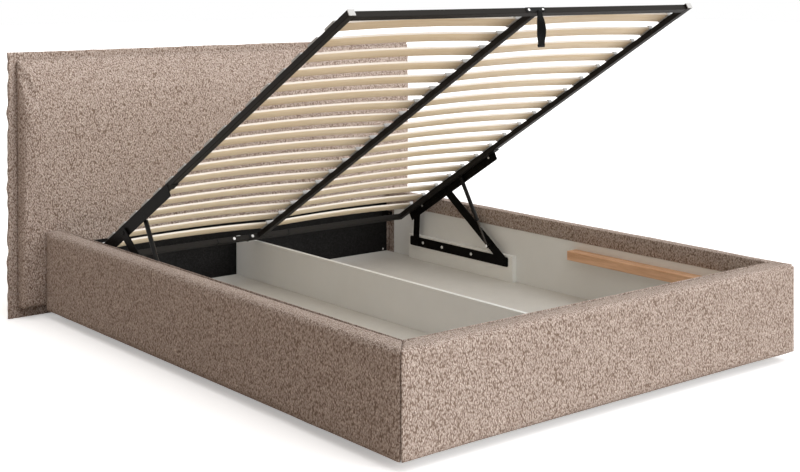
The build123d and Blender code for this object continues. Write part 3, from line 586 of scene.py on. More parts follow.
def middle_of(edge):
    return (edge.verts[0].co + edge.verts[1].co) / 2


def along_edge(edge, axis, **near):
    """True for an edge parallel to an axis whose middle is near the given coordinates."""
    way = edge.verts[1].co - edge.verts[0].co
    if abs(way["xyz".index(axis)]) < 0.9 * way.length:
        return False
    centre = middle_of(edge)
    return all(abs(centre["xyz".index(k)] - v) < EDGE_TOLERANCE for k, v in near.items())


def round_edges(piece, test, radius, segments=4):
    """Bevels the edges that pass the test."""
    choose(piece, "EDGE", test)
    bpy.ops.mesh.bevel(offset=radius, segments=segments, profile=0.5)
    leave_edit_mode()


def add_modifier(piece, name, kind, **settings):
    """Adds a modifier with its settings."""
    modifier = piece.modifiers.new(name, kind)
    for label, value in settings.items():
        setattr(modifier, label, value)
    return modifier


def apply_modifier(piece, modifier):
    """Puts what a modifier does into the mesh."""
    make_active(piece)
    bpy.ops.object.modifier_apply(modifier=modifier.name)


def modify(piece, name, kind, **settings):
    """Adds a modifier with its settings and applies it."""
    apply_modifier(piece, add_modifier(piece, name, kind, **settings))


def swell(piece, held, cap, settings):
    """Lets the padding push the cover out by cloth simulation, no further than cap."""
    start = [v.co.copy() for v in piece.data.vertices]
    group = piece.vertex_groups.new(name="held")
    group.add([v.index for v in piece.data.vertices if held(v.co)], 1.0, "REPLACE")
    cloth = piece.modifiers.new("Padding", "CLOTH")
    cloth.settings.vertex_group_mass = group.name
    cloth.settings.quality = 4
    cloth.settings.mass = 0.35
    cloth.settings.tension_stiffness = 12.0
    cloth.settings.compression_stiffness = 8.0
    cloth.settings.bending_stiffness = 0.6
    cloth.settings.use_pressure = True
    cloth.settings.uniform_pressure_force = settings.pressure
    cloth.settings.effector_weights.gravity = 0.0
    cloth.point_cache.frame_start = 1
    cloth.point_cache.frame_end = SWELL_FRAMES
    for step in range(1, SWELL_FRAMES + 1):
        bpy.context.scene.frame_set(step)
    apply_modifier(piece, cloth)
    bpy.context.scene.frame_set(1)
    for vertex, rest in zip(piece.data.vertices, start):
        move = vertex.co - rest
        if move.length > cap:
            vertex.co = rest + move * (cap / move.length)
    piece.vertex_groups.clear()


def wrinkle(piece, held, amount, size, seed):
    """Moves the cover in and out a little along its normals, as uneven padding does."""
    fine_share = 0.35
    fine_size = size * 0.3
    shift = Vector((seed * 3.7, seed * 1.3, seed * 2.1))
    moves = []
    for vertex in piece.data.vertices:
        if held(vertex.co):
            moves.append(Vector())
            continue
        move = amount * noise.noise(vertex.co / size + shift)
        move += fine_share * amount * noise.noise(vertex.co / fine_size + shift)
        moves.append(vertex.normal * move)
    for vertex, move in zip(piece.data.vertices, moves):
        vertex.co += move


def smooth(piece, angle=None):
    """Shades a piece smooth, but for edges sharper than the angle in degrees where one is given."""
    make_active(piece)
    if angle is None:
        bpy.ops.object.shade_smooth()
    else:
        bpy.ops.object.shade_smooth_by_angle(angle=math.radians(angle))


def recalculate_outside(piece):
    """Merges doubles and points the faces outwards."""
    make_active(piece)
    bpy.ops.object.mode_set(mode="EDIT")
    bpy.ops.mesh.select_mode(type="VERT")
    bpy.ops.mesh.select_all(action="SELECT")
    bpy.ops.mesh.remove_doubles(threshold=0.00002)
    bpy.ops.mesh.normals_make_consistent(inside=False)
    leave_edit_mode()


def paint(piece, material):
    """Gives a new piece its one material."""
    piece.data.materials.clear()
    piece.data.materials.append(material)


def within(value, low, high):
    """The value, held between low and high."""
    return min(max(value, low), high)


def fade(value, start, reach):
    """1 up to start, falling to 0 over reach."""
    return within(1.0 - (value - start) / reach, 0.0, 1.0)


def dress(names, material, radius):
    """Gives CAD nodes their material and softens their edges."""
    for name in names:
        node = NODES[name]
        if not node.material_slots:
            node.data.materials.append(material)
        for slot in node.material_slots:
            slot.material = material
        add_modifier(node, "Joined corners", "WELD", merge_threshold=0.00001)
        add_modifier(node, "Soft edges", "BEVEL", width=radius, segments=2, limit_method="ANGLE",
                     angle_limit=math.radians(40.0), harden_normals=False)


def cover_in_fabric(piece, node, angle=None):
    """Gives a soft piece its fabric and its place in the frame."""
    smooth(piece, angle)
    paint(piece, bpy.data.materials["boucle cover"])
    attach(piece, "bed_box")
    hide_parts(node)


def both(name):
    """The names of a node that is there once on each side."""
    return [f"{name}_right", f"{name}_left"]


# headboard, with sizes in metres in the bed's frame

(_, SOLID_FRONT, SOLID_FOOT), (SOLID_SIDE, SOLID_BACK, SOLID_TOP) = clean_box("headboard_cushion")
# the cushion before it swells lies inside its solid by these amounts
CUSHION_HALF_WIDTH = SOLID_SIDE - 0.0035
CUSHION_FRONT, CUSHION_BACK = SOLID_FRONT + 0.0055, SOLID_BACK - 0.0015
CUSHION_FOOT, CUSHION_TOP = SOLID_FOOT + 0.008, SOLID_TOP - 0.006
CUSHION_CORNER, CUSHION_RIM, RIM_TOLERANCE = 0.006, 0.017, 0.0005
# the cover is held this deep at its back
CUSHION_HELD = 0.0065
# the front is crowned by this much, with its middle at this height
CROWN, CROWN_BACK, CROWN_MIDDLE = 0.0035, 1.05, 0.51
CROWN_HALF_WIDTH, CROWN_HALF_HEIGHT, CROWN_SQUARENESS = 0.95, 0.46, 6
# above this height the cushion thins, by this share at its top
THIN_FROM, THIN_SHARE = 0.75, 0.72
# the cushion stays behind the first plane between the rails, and behind the second elsewhere
STOP_AT_RAILS, STOP_ABOVE = SOLID_FRONT + 0.0005, SOLID_FRONT - 0.008
RAILS_TOP, RAILS_TOP_FADE = 0.345, 0.05
RAILS_SIDE, RAILS_SIDE_FADE = 0.885, 0.04

FLANGE_THICKNESS, FLANGE_EDGE_RADIUS = 0.0055, 0.0022
OPENING_HALF_WIDTH, OPENING_FOOT, OPENING_TOP = 0.93, 0.07, 0.95
# beyond this, measured from the middle and from the floor, the flange is side or top
RIM_FROM, RIM_REACH = 0.9, 0.030
WAVES, WAVE_SIZE = 9.0, 0.0022
RIPPLES, RIPPLE_SIZE = 21.0, 0.0056
SIDE_PULL, TOP_PULL = 0.0012, 0.0026
SEAM_HALF_WIDTH, SEAM_TOP, SEAM_REACH, SEAM_DEPTH = 0.974, 0.994, 0.006, 0.0035
# beyond this half width, what lies this far behind the flange's front is set back for the turned edge
SIDE_EDGE_FROM, SIDE_EDGE_SKIN, SIDE_EDGE_DEPTH = 0.9945, 0.0045, 0.0075


def shape_cushion(at):
    """Crowns the cushion's front and thins it towards its top."""
    if at.y < CROWN_BACK:
        across = 1.0 - min(1.0, abs(at.x) / CROWN_HALF_WIDTH) ** CROWN_SQUARENESS
        up = 1.0 - min(1.0, abs(at.z - CROWN_MIDDLE) / CROWN_HALF_HEIGHT) ** CROWN_SQUARENESS
        at.y -= CROWN * across * up
    rise = within((at.z - THIN_FROM) / (CUSHION_TOP - THIN_FROM), 0.0, 1.0)
    thin = THIN_SHARE * (1.0 - math.cos(rise * math.pi / 2))
    at.y += (CUSHION_BACK - at.y) * thin


def confine_cushion(at):
    """Keeps the cushion off the rails and inside its flange."""
    at_rails = fade(at.z, RAILS_TOP, RAILS_TOP_FADE) * fade(abs(at.x), RAILS_SIDE, RAILS_SIDE_FADE)
    stop = STOP_AT_RAILS * at_rails + STOP_ABOVE * (1.0 - at_rails)
    at.y = within(at.y, stop, SOLID_BACK - 0.0005)
    at.x = within(at.x, -SOLID_SIDE, SOLID_SIDE)
    at.z = within(at.z, SOLID_FOOT, SOLID_TOP)


class BED_OT_headboard_cushion(bpy.types.Operator):
    """Makes the padded front of the headboard"""

    bl_idname = "bed.headboard_cushion"
    bl_label = "Headboard cushion"

    def execute(self, context):
        settings = context.scene.bed_padding
        piece = start_block("headboard_pad", (-CUSHION_HALF_WIDTH, CUSHION_FRONT, CUSHION_FOOT),
                            (CUSHION_HALF_WIDTH, CUSHION_BACK, CUSHION_TOP))
        corners = [(x, z) for x in (-CUSHION_HALF_WIDTH, CUSHION_HALF_WIDTH)
                   for z in (CUSHION_FOOT, CUSHION_TOP)]
        round_edges(piece, lambda e: any(along_edge(e, "y", x=x, z=z) for x, z in corners),
                    CUSHION_CORNER, 2)
        round_edges(piece, lambda e: all(abs(v.co.y - CUSHION_FRONT) < RIM_TOLERANCE for v in e.verts),
                    CUSHION_RIM, 4)
        modify(piece, "Even grid", "REMESH", mode="VOXEL", voxel_size=settings.cushion_voxel)
        for vertex in piece.data.vertices:
            shape_cushion(vertex.co)

        def held(at):
            return at.y > CUSHION_BACK - CUSHION_HELD

        swell(piece, held, settings.cushion_swell, settings)
        wrinkle(piece, held, amount=0.0022, size=0.16, seed=1.0)
        for vertex in piece.data.vertices:
            confine_cushion(vertex.co)
        cover_in_fabric(piece, "headboard_cushion")
        return {"FINISHED"}


def ruffle_flange(at, high):
    """Waves the flange towards its rim and sinks its seam. high is the upper corner of its box."""
    inward = min(high.x - abs(at.x), high.z - at.z)
    rim = max(0.0, 1.0 - inward / RIM_REACH)
    wave = noise.noise(Vector((at.x * WAVES, at.z * WAVES, 3.0)))
    ripple = noise.noise(Vector((at.x * RIPPLES, at.z * RIPPLES, 9.0)))
    fall = rim * (WAVE_SIZE * wave + RIPPLE_SIZE * ripple)
    if abs(at.x) > RIM_FROM:
        at.x += math.copysign(1.0, at.x) * (1.3 * fall - SIDE_PULL * rim)
    if at.z > RIM_FROM:
        at.z += 0.35 * fall - TOP_PULL * rim
    groove = min(abs(abs(at.x) - SEAM_HALF_WIDTH), abs(at.z - SEAM_TOP) if at.z > RIM_FROM else 1.0)
    at.y += 0.7 * fall + SEAM_DEPTH * max(0.0, 1.0 - groove / SEAM_REACH)


class BED_OT_headboard_flange(bpy.types.Operator):
    """Makes the stitched flange of fabric round the headboard"""

    bl_idname = "bed.headboard_flange"
    bl_label = "Headboard flange"

    def execute(self, context):
        low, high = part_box("headboard_flange")
        clear_selection()
        bpy.ops.mesh.primitive_grid_add(x_subdivisions=250, y_subdivisions=130, size=1.0)
        piece = bpy.context.object
        piece.rotation_euler = (math.radians(90.0), 0.0, 0.0)
        piece.scale = (high.x - low.x, high.z - low.z, 1.0)
        piece.location = (0.0, low.y + 0.0015, (low.z + high.z) / 2)
        settle(piece, "headboard_border")
        choose(piece, "FACE", lambda f: abs(f.calc_center_median().x) < OPENING_HALF_WIDTH
               and OPENING_FOOT < f.calc_center_median().z < OPENING_TOP)
        bpy.ops.mesh.delete(type="FACE")
        leave_edit_mode()
        for vertex in piece.data.vertices:
            ruffle_flange(vertex.co, high)
        modify(piece, "Cloth thickness", "SOLIDIFY", thickness=FLANGE_THICKNESS, offset=-1.0)
        modify(piece, "Turned edge", "BEVEL", width=FLANGE_EDGE_RADIUS, segments=2, limit_method="ANGLE",
               angle_limit=math.radians(60.0))
        for vertex in piece.data.vertices:
            at = vertex.co
            at.y = within(at.y, low.y - 0.0005, high.y - 0.0002)
            if abs(at.x) > SIDE_EDGE_FROM and at.y > low.y + SIDE_EDGE_SKIN:
                at.y += SIDE_EDGE_DEPTH
            at.z = max(at.z, low.z)
        recalculate_outside(piece)
        cover_in_fabric(piece, "headboard_flange", angle=50.0)
        return {"FINISHED"}


# rails, with sizes in metres in the bed's frame

(SOLID_INNER, SOLID_END, SOLID_UNDER), (SOLID_OUTER, SOLID_HEAD, SOLID_UPPER) = clean_box("side_rail_right")
_, (BOARD_OUTER, _, BOARD_TOP) = clean_box("side_board_right")
(_, FOOT_BOARD_OUTER, _), _ = clean_box("foot_board")
# a rail before it swells lies this far inside its solid, and its cover this far off the lining boards
RAIL_INSET, COVER_GAP = 0.0025, 0.0005
RAIL_FOOT, RAIL_TOP = SOLID_UNDER + RAIL_INSET, SOLID_UPPER - RAIL_INSET
SIDE_INNER, SIDE_OUTER, SIDE_HEAD = BOARD_OUTER, SOLID_OUTER - RAIL_INSET, SOLID_HEAD - COVER_GAP
FOOT_INNER, FOOT_OUTER = FOOT_BOARD_OUTER, SOLID_END + RAIL_INSET
# the cover's fold over the lining board starts at this height and reaches this far in
FOLD_FROM, FOLD_DEPTH = BOARD_TOP + COVER_GAP, BOARD_OUTER - SOLID_INNER - RAIL_INSET
TOP_RADIUS, FOLD_RADIUS, FOOT_RADIUS, SEAM_RADIUS = 0.020, 0.004, 0.005, 0.0035
# the mitre at the right foot corner: the way square to it, and a point of each rail's cut
MITRE_WAY, MITRE_TOLERANCE = (0.070, 0.067), 0.0006
SIDE_MITRE, FOOT_MITRE = (0.880, -1.0995), (0.8795, -1.100)
# the cover is held this near a mitre, the head end, and the faces that have no padding
MITRE_HELD, HEAD_HELD, HELD_SKIN = 0.0035, 0.0025, 0.0015
# edges beyond the inner face or above the fold by these amounts belong to the seam that is seen
SEAM_BEYOND, SEAM_ABOVE = 0.002, 0.0035
# the inner band: its faces across the side rails and the foot rail, its heights, its grid
SIDE_BAND, FOOT_BAND = (0.8131, 0.8158), (-1.0328, -1.0301)
BAND_FOOT, BAND_TOP, BAND_STEP = 0.2685, 0.3315, 0.034
SIDE_BAND_START, FOOT_BAND_END = -1.031, 0.8155


def finish_rail(piece, node, held, settings, seed):
    """Fills a rail's cover, then gives it its fabric and its place in the frame."""
    modify(piece, "Even grid", "REMESH", mode="VOXEL", voxel_size=settings.rail_voxel)
    swell(piece, held, settings.rail_swell, settings)
    wrinkle(piece, held, amount=0.0011, size=0.12, seed=seed)
    low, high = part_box(node)
    for vertex in piece.data.vertices:
        for axis in range(3):
            vertex.co[axis] = within(vertex.co[axis], low[axis], high[axis])
    cover_in_fabric(piece, node)


def finish_band(piece, node):
    """Gives the inner band of a rail its soft edges and fabric."""
    modify(piece, "Folded edge", "BEVEL", width=0.0009, segments=2)
    for vertex in piece.data.vertices:
        vertex.co.z += 0.0006 * noise.noise(vertex.co * 20.0)
    cover_in_fabric(piece, node, angle=40.0)


def cut(piece, place, way, clear=False):
    """Cuts a piece with a plane. With clear, what lies behind it is removed and the cut is closed."""
    make_active(piece)
    bpy.ops.object.mode_set(mode="EDIT")
    bpy.ops.mesh.select_all(action="SELECT")
    bpy.ops.mesh.bisect(plane_co=place, plane_no=way, use_fill=clear, clear_inner=clear)
    leave_edit_mode()


def fold_cover(piece, is_inner, move):
    """Draws the top of a rail's inner face inwards by move, over the lining board."""
    cut(piece, (0.0, 0.0, FOLD_FROM), (0.0, 0.0, 1.0))
    choose(piece, "FACE", lambda f: is_inner(f.normal) and f.calc_center_median().z > FOLD_FROM)
    bpy.ops.mesh.extrude_region_move(TRANSFORM_OT_translate={"value": move})
    leave_edit_mode()


def round_rail(piece, along, across, outer, inner):
    """Rounds the long edges of a rail that runs along one axis. outer and inner lie on the other."""
    for place, height, radius, segments in (
        (outer, RAIL_TOP, TOP_RADIUS, 4), (inner, RAIL_TOP, FOLD_RADIUS, 2),
        (outer, RAIL_FOOT, FOOT_RADIUS, 2),
    ):
        near = {across: place, "z": height}
        round_edges(piece, lambda e: along_edge(e, along, **near), radius, segments)


def past_mitre(at, place, way):
    """How far a point lies from a mitre's plane, along the way given."""
    flat = Vector((at.x, at.y, 0.0))
    return Vector(way).normalized().dot(flat - Vector(place))


def round_mitre(piece, past, is_outer):
    """Rounds the seam at a mitre where it is seen: on the outer face and on top."""
    def is_seam(edge):
        middle = middle_of(edge)
        at_cut = all(abs(past(v.co)) < MITRE_TOLERANCE for v in edge.verts)
        return at_cut and (is_outer(middle) or middle.z > FOLD_FROM + SEAM_ABOVE)

    round_edges(piece, is_seam, SEAM_RADIUS, 2)


def start_side_block(name, s, inner, outer, low, high):
    """A box on the side with sign s. low and high are its corners along Y and Z."""
    near, far = sorted((s * inner, s * outer))
    return start_block(name, (near, *low), (far, *high))


def make_side_rail(side, s, seed, settings):
    """Makes one side rail and its band. s is the side's sign along X."""
    place = (SIDE_MITRE[0] * s, SIDE_MITRE[1], 0.0)
    way = (MITRE_WAY[0] * s, MITRE_WAY[1], 0.0)

    def past(at):
        return past_mitre(at, place, way)

    def held(at):
        inside = abs(at.x) < SIDE_INNER + HELD_SKIN and at.z < FOLD_FROM + HELD_SKIN
        at_end = past(at) < MITRE_HELD or at.y > SIDE_HEAD - HEAD_HELD
        return inside or at.z < RAIL_FOOT + HELD_SKIN or at_end

    piece = start_side_block(f"side_rail_pad_{side}", s, SIDE_INNER, SIDE_OUTER, (FOOT_OUTER, RAIL_FOOT),
                             (SIDE_HEAD, RAIL_TOP))
    fold_cover(piece, lambda normal: normal.x * s < -0.9, (-FOLD_DEPTH * s, 0.0, 0.0))
    cut(piece, place, way, clear=True)
    round_rail(piece, "y", "x", SIDE_OUTER * s, (SIDE_INNER - FOLD_DEPTH) * s)
    round_mitre(piece, past, lambda at: at.x * s > SIDE_INNER + SEAM_BEYOND)
    finish_rail(piece, f"side_rail_{side}", held, settings, seed)
    band = start_side_block(f"side_rail_band_{side}", s, *SIDE_BAND, (SIDE_BAND_START, BAND_FOOT),
                            (SIDE_HEAD, BAND_TOP))
    for step in range(1, 60):
        cut(band, (0.0, SIDE_BAND_START + step * BAND_STEP, 0.0), (0.0, 1.0, 0.0))
    finish_band(band, f"side_rail_{side}")


class BED_OT_side_rails(bpy.types.Operator):
    """Makes the two padded side rails with their inner bands"""

    bl_idname = "bed.side_rails"
    bl_label = "Side rails"

    def execute(self, context):
        for seed, (side, s) in enumerate(SIDES):
            make_side_rail(side, s, 2.0 + seed, context.scene.bed_padding)
        return {"FINISHED"}


class BED_OT_foot_rail(bpy.types.Operator):
    """Makes the padded foot rail with its inner band"""

    bl_idname = "bed.foot_rail"
    bl_label = "Foot rail"

    def execute(self, context):
        mitres = [((FOOT_MITRE[0] * s, FOOT_MITRE[1], 0.0), (-MITRE_WAY[0] * s, -MITRE_WAY[1], 0.0))
                  for _, s in SIDES]

        def past(at):
            return min(past_mitre(at, place, way) for place, way in mitres)

        def held(at):
            inside = at.y > FOOT_INNER - HELD_SKIN and at.z < FOLD_FROM + HELD_SKIN
            return inside or at.z < RAIL_FOOT + HELD_SKIN or past(at) < MITRE_HELD

        piece = start_block("foot_rail_pad", (-SIDE_OUTER, FOOT_OUTER, RAIL_FOOT),
                            (SIDE_OUTER, FOOT_INNER, RAIL_TOP))
        fold_cover(piece, lambda normal: normal.y > 0.9, (0.0, FOLD_DEPTH, 0.0))
        for place, way in mitres:
            cut(piece, place, way, clear=True)
        round_rail(piece, "x", "y", FOOT_OUTER, FOOT_INNER + FOLD_DEPTH)
        round_mitre(piece, past, lambda at: at.y < FOOT_INNER - SEAM_BEYOND)
        finish_rail(piece, "foot_rail", held, context.scene.bed_padding, 5.0)
        band = start_block("foot_rail_band", (-FOOT_BAND_END, FOOT_BAND[0], BAND_FOOT),
                           (FOOT_BAND_END, FOOT_BAND[1], BAND_TOP))
        for step in range(1, 48):
            cut(band, (-FOOT_BAND_END + step * BAND_STEP, 0.0, 0.0), (1.0, 0.0, 0.0))
        finish_band(band, "foot_rail")
        return {"FINISHED"}


# boards, wood and metal


class BED_OT_boards(bpy.types.Operator):
    """Finishes the boards of the storage box"""

    bl_idname = "bed.boards"
    bl_label = "Boards"

    def execute(self, context):
        dress(both("side_board") + ["foot_board", "divider"], bpy.data.materials["melamine board"], 0.0007)
        dress(both("mount_board"), bpy.data.materials["mount board"], 0.0008)
        dress(both("floor"), bpy.data.materials["floor board"], 0.0006)
        dress(["headboard_panel", "floor_bearers"], bpy.data.materials["raw chipboard"], 0.0006)
        dress(["head_panel"], bpy.data.materials["black board"], 0.0004)
        dress(["glides"], bpy.data.materials["black plastic"], 0.0010)
        return {"FINISHED"}


class BED_OT_battens(bpy.types.Operator):
    """Finishes the oak battens"""

    bl_idname = "bed.battens"
    bl_label = "Battens"

    def execute(self, context):
        dress(both("batten"), bpy.data.materials["oiled oak"], 0.0012)
        return {"FINISHED"}


class BED_OT_mechanism(bpy.types.Operator):
    """Finishes the links, plates and gas struts"""

    bl_idname = "bed.mechanism"
    bl_label = "Mechanism"

    def execute(self, context):
        shaded_black = bpy.data.materials["black steel"]
        for name in ("base_bar", "rear_link", "front_link", "deck_plate", "bracket"):
            dress(both(name), shaded_black, 0.0004)
        dress(["strut_pins", "base_rivets", "deck_rivets"], shaded_black, 0.0003)
        dress(both("strut_body"), bpy.data.materials["strut enamel"], 0.0006)
        dress(both("strut_rod"), bpy.data.materials["strut rod"], 0.0003)
        zinc = bpy.data.materials["zinc plate"]
        dress(both("strut_nut") + ["plate_screws", "strap_screws"], zinc, 0.0003)
        return {"FINISHED"}


class BED_OT_deck_frame(bpy.types.Operator):
    """Finishes the tube frame of the deck"""

    bl_idname = "bed.deck_frame"
    bl_label = "Deck frame"

    def execute(self, context):
        dress(both("side_tube") + ["foot_tube", "head_tube", "centre_beam"],
              bpy.data.materials["tube paint"], 0.0022)
        dress(["tube_collars", "strap_plate"], bpy.data.materials["black plastic"], 0.0005)
        dress(["tube_plugs"], bpy.data.materials["white plastic"], 0.0005)
        dress(["frame_bolts"], bpy.data.materials["zinc plate"], 0.0003)
        return {"FINISHED"}


class BED_OT_slats(bpy.types.Operator):
    """Finishes the bowed slats and their holders"""

    bl_idname = "bed.slats"
    bl_label = "Slats"

    def execute(self, context):
        dress(both("slats"), bpy.data.materials["slat birch"], 0.0015)
        dress(both("side_holders") + ["centre_holders"], bpy.data.materials["white plastic"], 0.0006)
        return {"FINISHED"}


# screws, with sizes in metres in the bed's frame

(BAR_FACE, _, BAR_FOOT), (_, _, BAR_TOP) = clean_box("base_bar_right")
(_, PANEL_FACE, PANEL_FOOT), _ = clean_box("head_panel")
# each base bar's screws along it, and the panel screws from the middle and above the panel's foot
BASE_SCREWS_ALONG = (0.4209, 0.6051, 0.7301)
PANEL_SCREW_ACROSS, PANEL_SCREW_RISE = 0.791, 0.010


def make_screw_head(radius, height):
    """A domed screw head with a cross recess, its flat side at the origin and its top along +Z."""
    arm, flat, dome = radius * 0.26, radius * 0.30, height * 0.6
    middle = (0.0, 0.0, height / 2)
    clear_selection()
    bpy.ops.mesh.primitive_cylinder_add(vertices=24, radius=radius, depth=height, location=middle)
    head = settle(bpy.context.object, "screw_head")
    choose(head, "FACE", lambda f: f.normal.z > 0.9)
    bpy.ops.mesh.inset(thickness=flat)
    leave_edit_mode()
    round_edges(head, lambda e: all(abs(v.co.z - height) < 1e-6 and v.co.xy.length > radius * 0.9
                                    for v in e.verts), dome, 3)
    for x, y in ((radius, arm), (arm, radius)):
        slot = start_block("screw_slot", (-x / 2, -y / 2, height * 0.35), (x / 2, y / 2, height * 1.3))
        modify(head, "Recess", "BOOLEAN", operation="DIFFERENCE", solver="EXACT", object=slot)
        bpy.data.objects.remove(slot, do_unlink=True)
    return head


def copy_heads(master, name, places, node):
    """Turns the master into copies, each at its place, along its way and spun about it, and joins them."""
    copies = []
    for at, way, spin in places:
        copy = master.copy()
        copy.data = master.data.copy()
        bpy.context.collection.objects.link(copy)
        turn = Vector((0, 0, 1)).rotation_difference(Vector(way)).to_matrix()
        c, d = math.cos(spin), math.sin(spin)
        for vertex in copy.data.vertices:
            x, y, z = vertex.co
            vertex.co = turn @ Vector((x * c - y * d, x * d + y * c, z)) + Vector(at)
        copies.append(copy)
    bpy.data.objects.remove(master, do_unlink=True)
    clear_selection()
    for copy in copies:
        copy.select_set(True)
    bpy.context.view_layer.objects.active = copies[0]
    bpy.ops.object.join()
    piece = settle(bpy.context.object, name)
    smooth(piece, 35.0)
    paint(piece, bpy.data.materials["zinc plate"])
    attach(piece, "bed_box")
    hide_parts(node)


class BED_OT_screws(bpy.types.Operator):
    """Makes the screws of the base bars and the head panel"""

    bl_idname = "bed.screws"
    bl_label = "Screws"

    def execute(self, context):
        copy_heads(make_screw_head(radius=0.0065, height=0.0026), "base_screw_heads", [
            ((BAR_FACE * s, y, (BAR_FOOT + BAR_TOP) / 2), (-s, 0, 0), 0.4 + 1.1 * i)
            for _, s in SIDES for i, y in enumerate(BASE_SCREWS_ALONG)
        ], "base_screws")
        copy_heads(make_screw_head(radius=0.0045, height=0.0020), "panel_screw_heads", [
            ((PANEL_SCREW_ACROSS * s, PANEL_FACE, PANEL_FOOT + PANEL_SCREW_RISE), (0, -1, 0), 0.3 * s)
            for _, s in SIDES
        ], "panel_screws")
        return {"FINISHED"}


# pull strap, with sizes in metres

STRAP_STEPS = 96
STRAP_COLUMNS = (-1, -0.5, 0, 0.5, 1)
STRAP_HALF_WIDTH, STRAP_PINCH, STRAP_THICKNESS = 0.0145, 0.0050, 0.0018
# the share of the strap's length in each leg
LEG_SHARE = 0.40


def strap_way(t, centre, depth, bend, top, bottom):
    """The strap's middle line and its twist, as t goes from 0 down one leg, round and up the other to 1.

    bulge is how far the strap leans sideways."""
    drop = top - bottom - bend
    if t < LEG_SHARE:
        way = t / LEG_SHARE
        bulge = -0.011 + 0.0215 * math.sin(math.pi * min(1.0, way * 1.5) / 2) - 0.004 * way ** 4
        y, z = depth + bend * way ** 0.6, top - drop * way
        twist = -0.55 * math.sin(math.pi * way) ** 2
    elif t < 1.0 - LEG_SHARE:
        way = math.pi * (t - LEG_SHARE) / (1.0 - 2 * LEG_SHARE)
        bulge = -0.0015 + 0.0065 * math.cos(way)
        y, z = depth + bend * math.cos(way), bottom + bend - bend * math.sin(way)
        twist = 0.0
    else:
        way = (t - 1.0 + LEG_SHARE) / LEG_SHARE
        bulge = -0.009 - 0.002 * way
        y, z = depth - bend * (1.0 - way) ** 0.6, bottom + bend + drop * way
        twist = -0.80 * math.sin(math.pi * way) ** 2
    return Vector((centre + bulge, y, z)), twist


class BED_OT_pull_strap(bpy.types.Operator):
    """Makes the twisted loop of the pull strap"""

    bl_idname = "bed.pull_strap"
    bl_label = "Pull strap"

    def execute(self, context):
        low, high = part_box("strap")
        skin = 0.0008
        centre, depth = (low.x + high.x) / 2, (low.y + high.y) / 2
        bend = (high.y - low.y) / 2 - skin
        points = []
        for i in range(STRAP_STEPS + 1):
            t = i / STRAP_STEPS
            place, twist = strap_way(t, centre, depth, bend, high.z - 0.004, low.z + skin)
            half = STRAP_HALF_WIDTH - STRAP_PINCH * abs(math.cos(math.pi * t)) ** 8
            across = Vector((math.cos(twist), 0.7 * math.sin(twist), 0.0))
            points += [tuple(place + across * (half * k)) for k in STRAP_COLUMNS]
        count = len(STRAP_COLUMNS)
        faces = [(r * count + c, r * count + c + 1, (r + 1) * count + c + 1, (r + 1) * count + c)
                 for r in range(STRAP_STEPS) for c in range(count - 1)]
        mesh = bpy.data.meshes.new("pull_strap")
        mesh.from_pydata(points, [], faces)
        uv = mesh.uv_layers.new(name="Ribbon")
        for loop in mesh.loops:
            row, column = divmod(loop.vertex_index, count)
            uv.data[loop.index].uv = (column / (count - 1) * 0.2, row / STRAP_STEPS * 2.4)
        piece = bpy.data.objects.new("pull_strap", mesh)
        bpy.context.collection.objects.link(piece)
        recalculate_outside(piece)
        modify(piece, "Webbing thickness", "SOLIDIFY", thickness=STRAP_THICKNESS, offset=0.0)
        smooth(piece, 60.0)
        paint(piece, bpy.data.materials["strap webbing"])
        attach(piece, "strap")
        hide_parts("strap")
        return {"FINISHED"}


# finishes


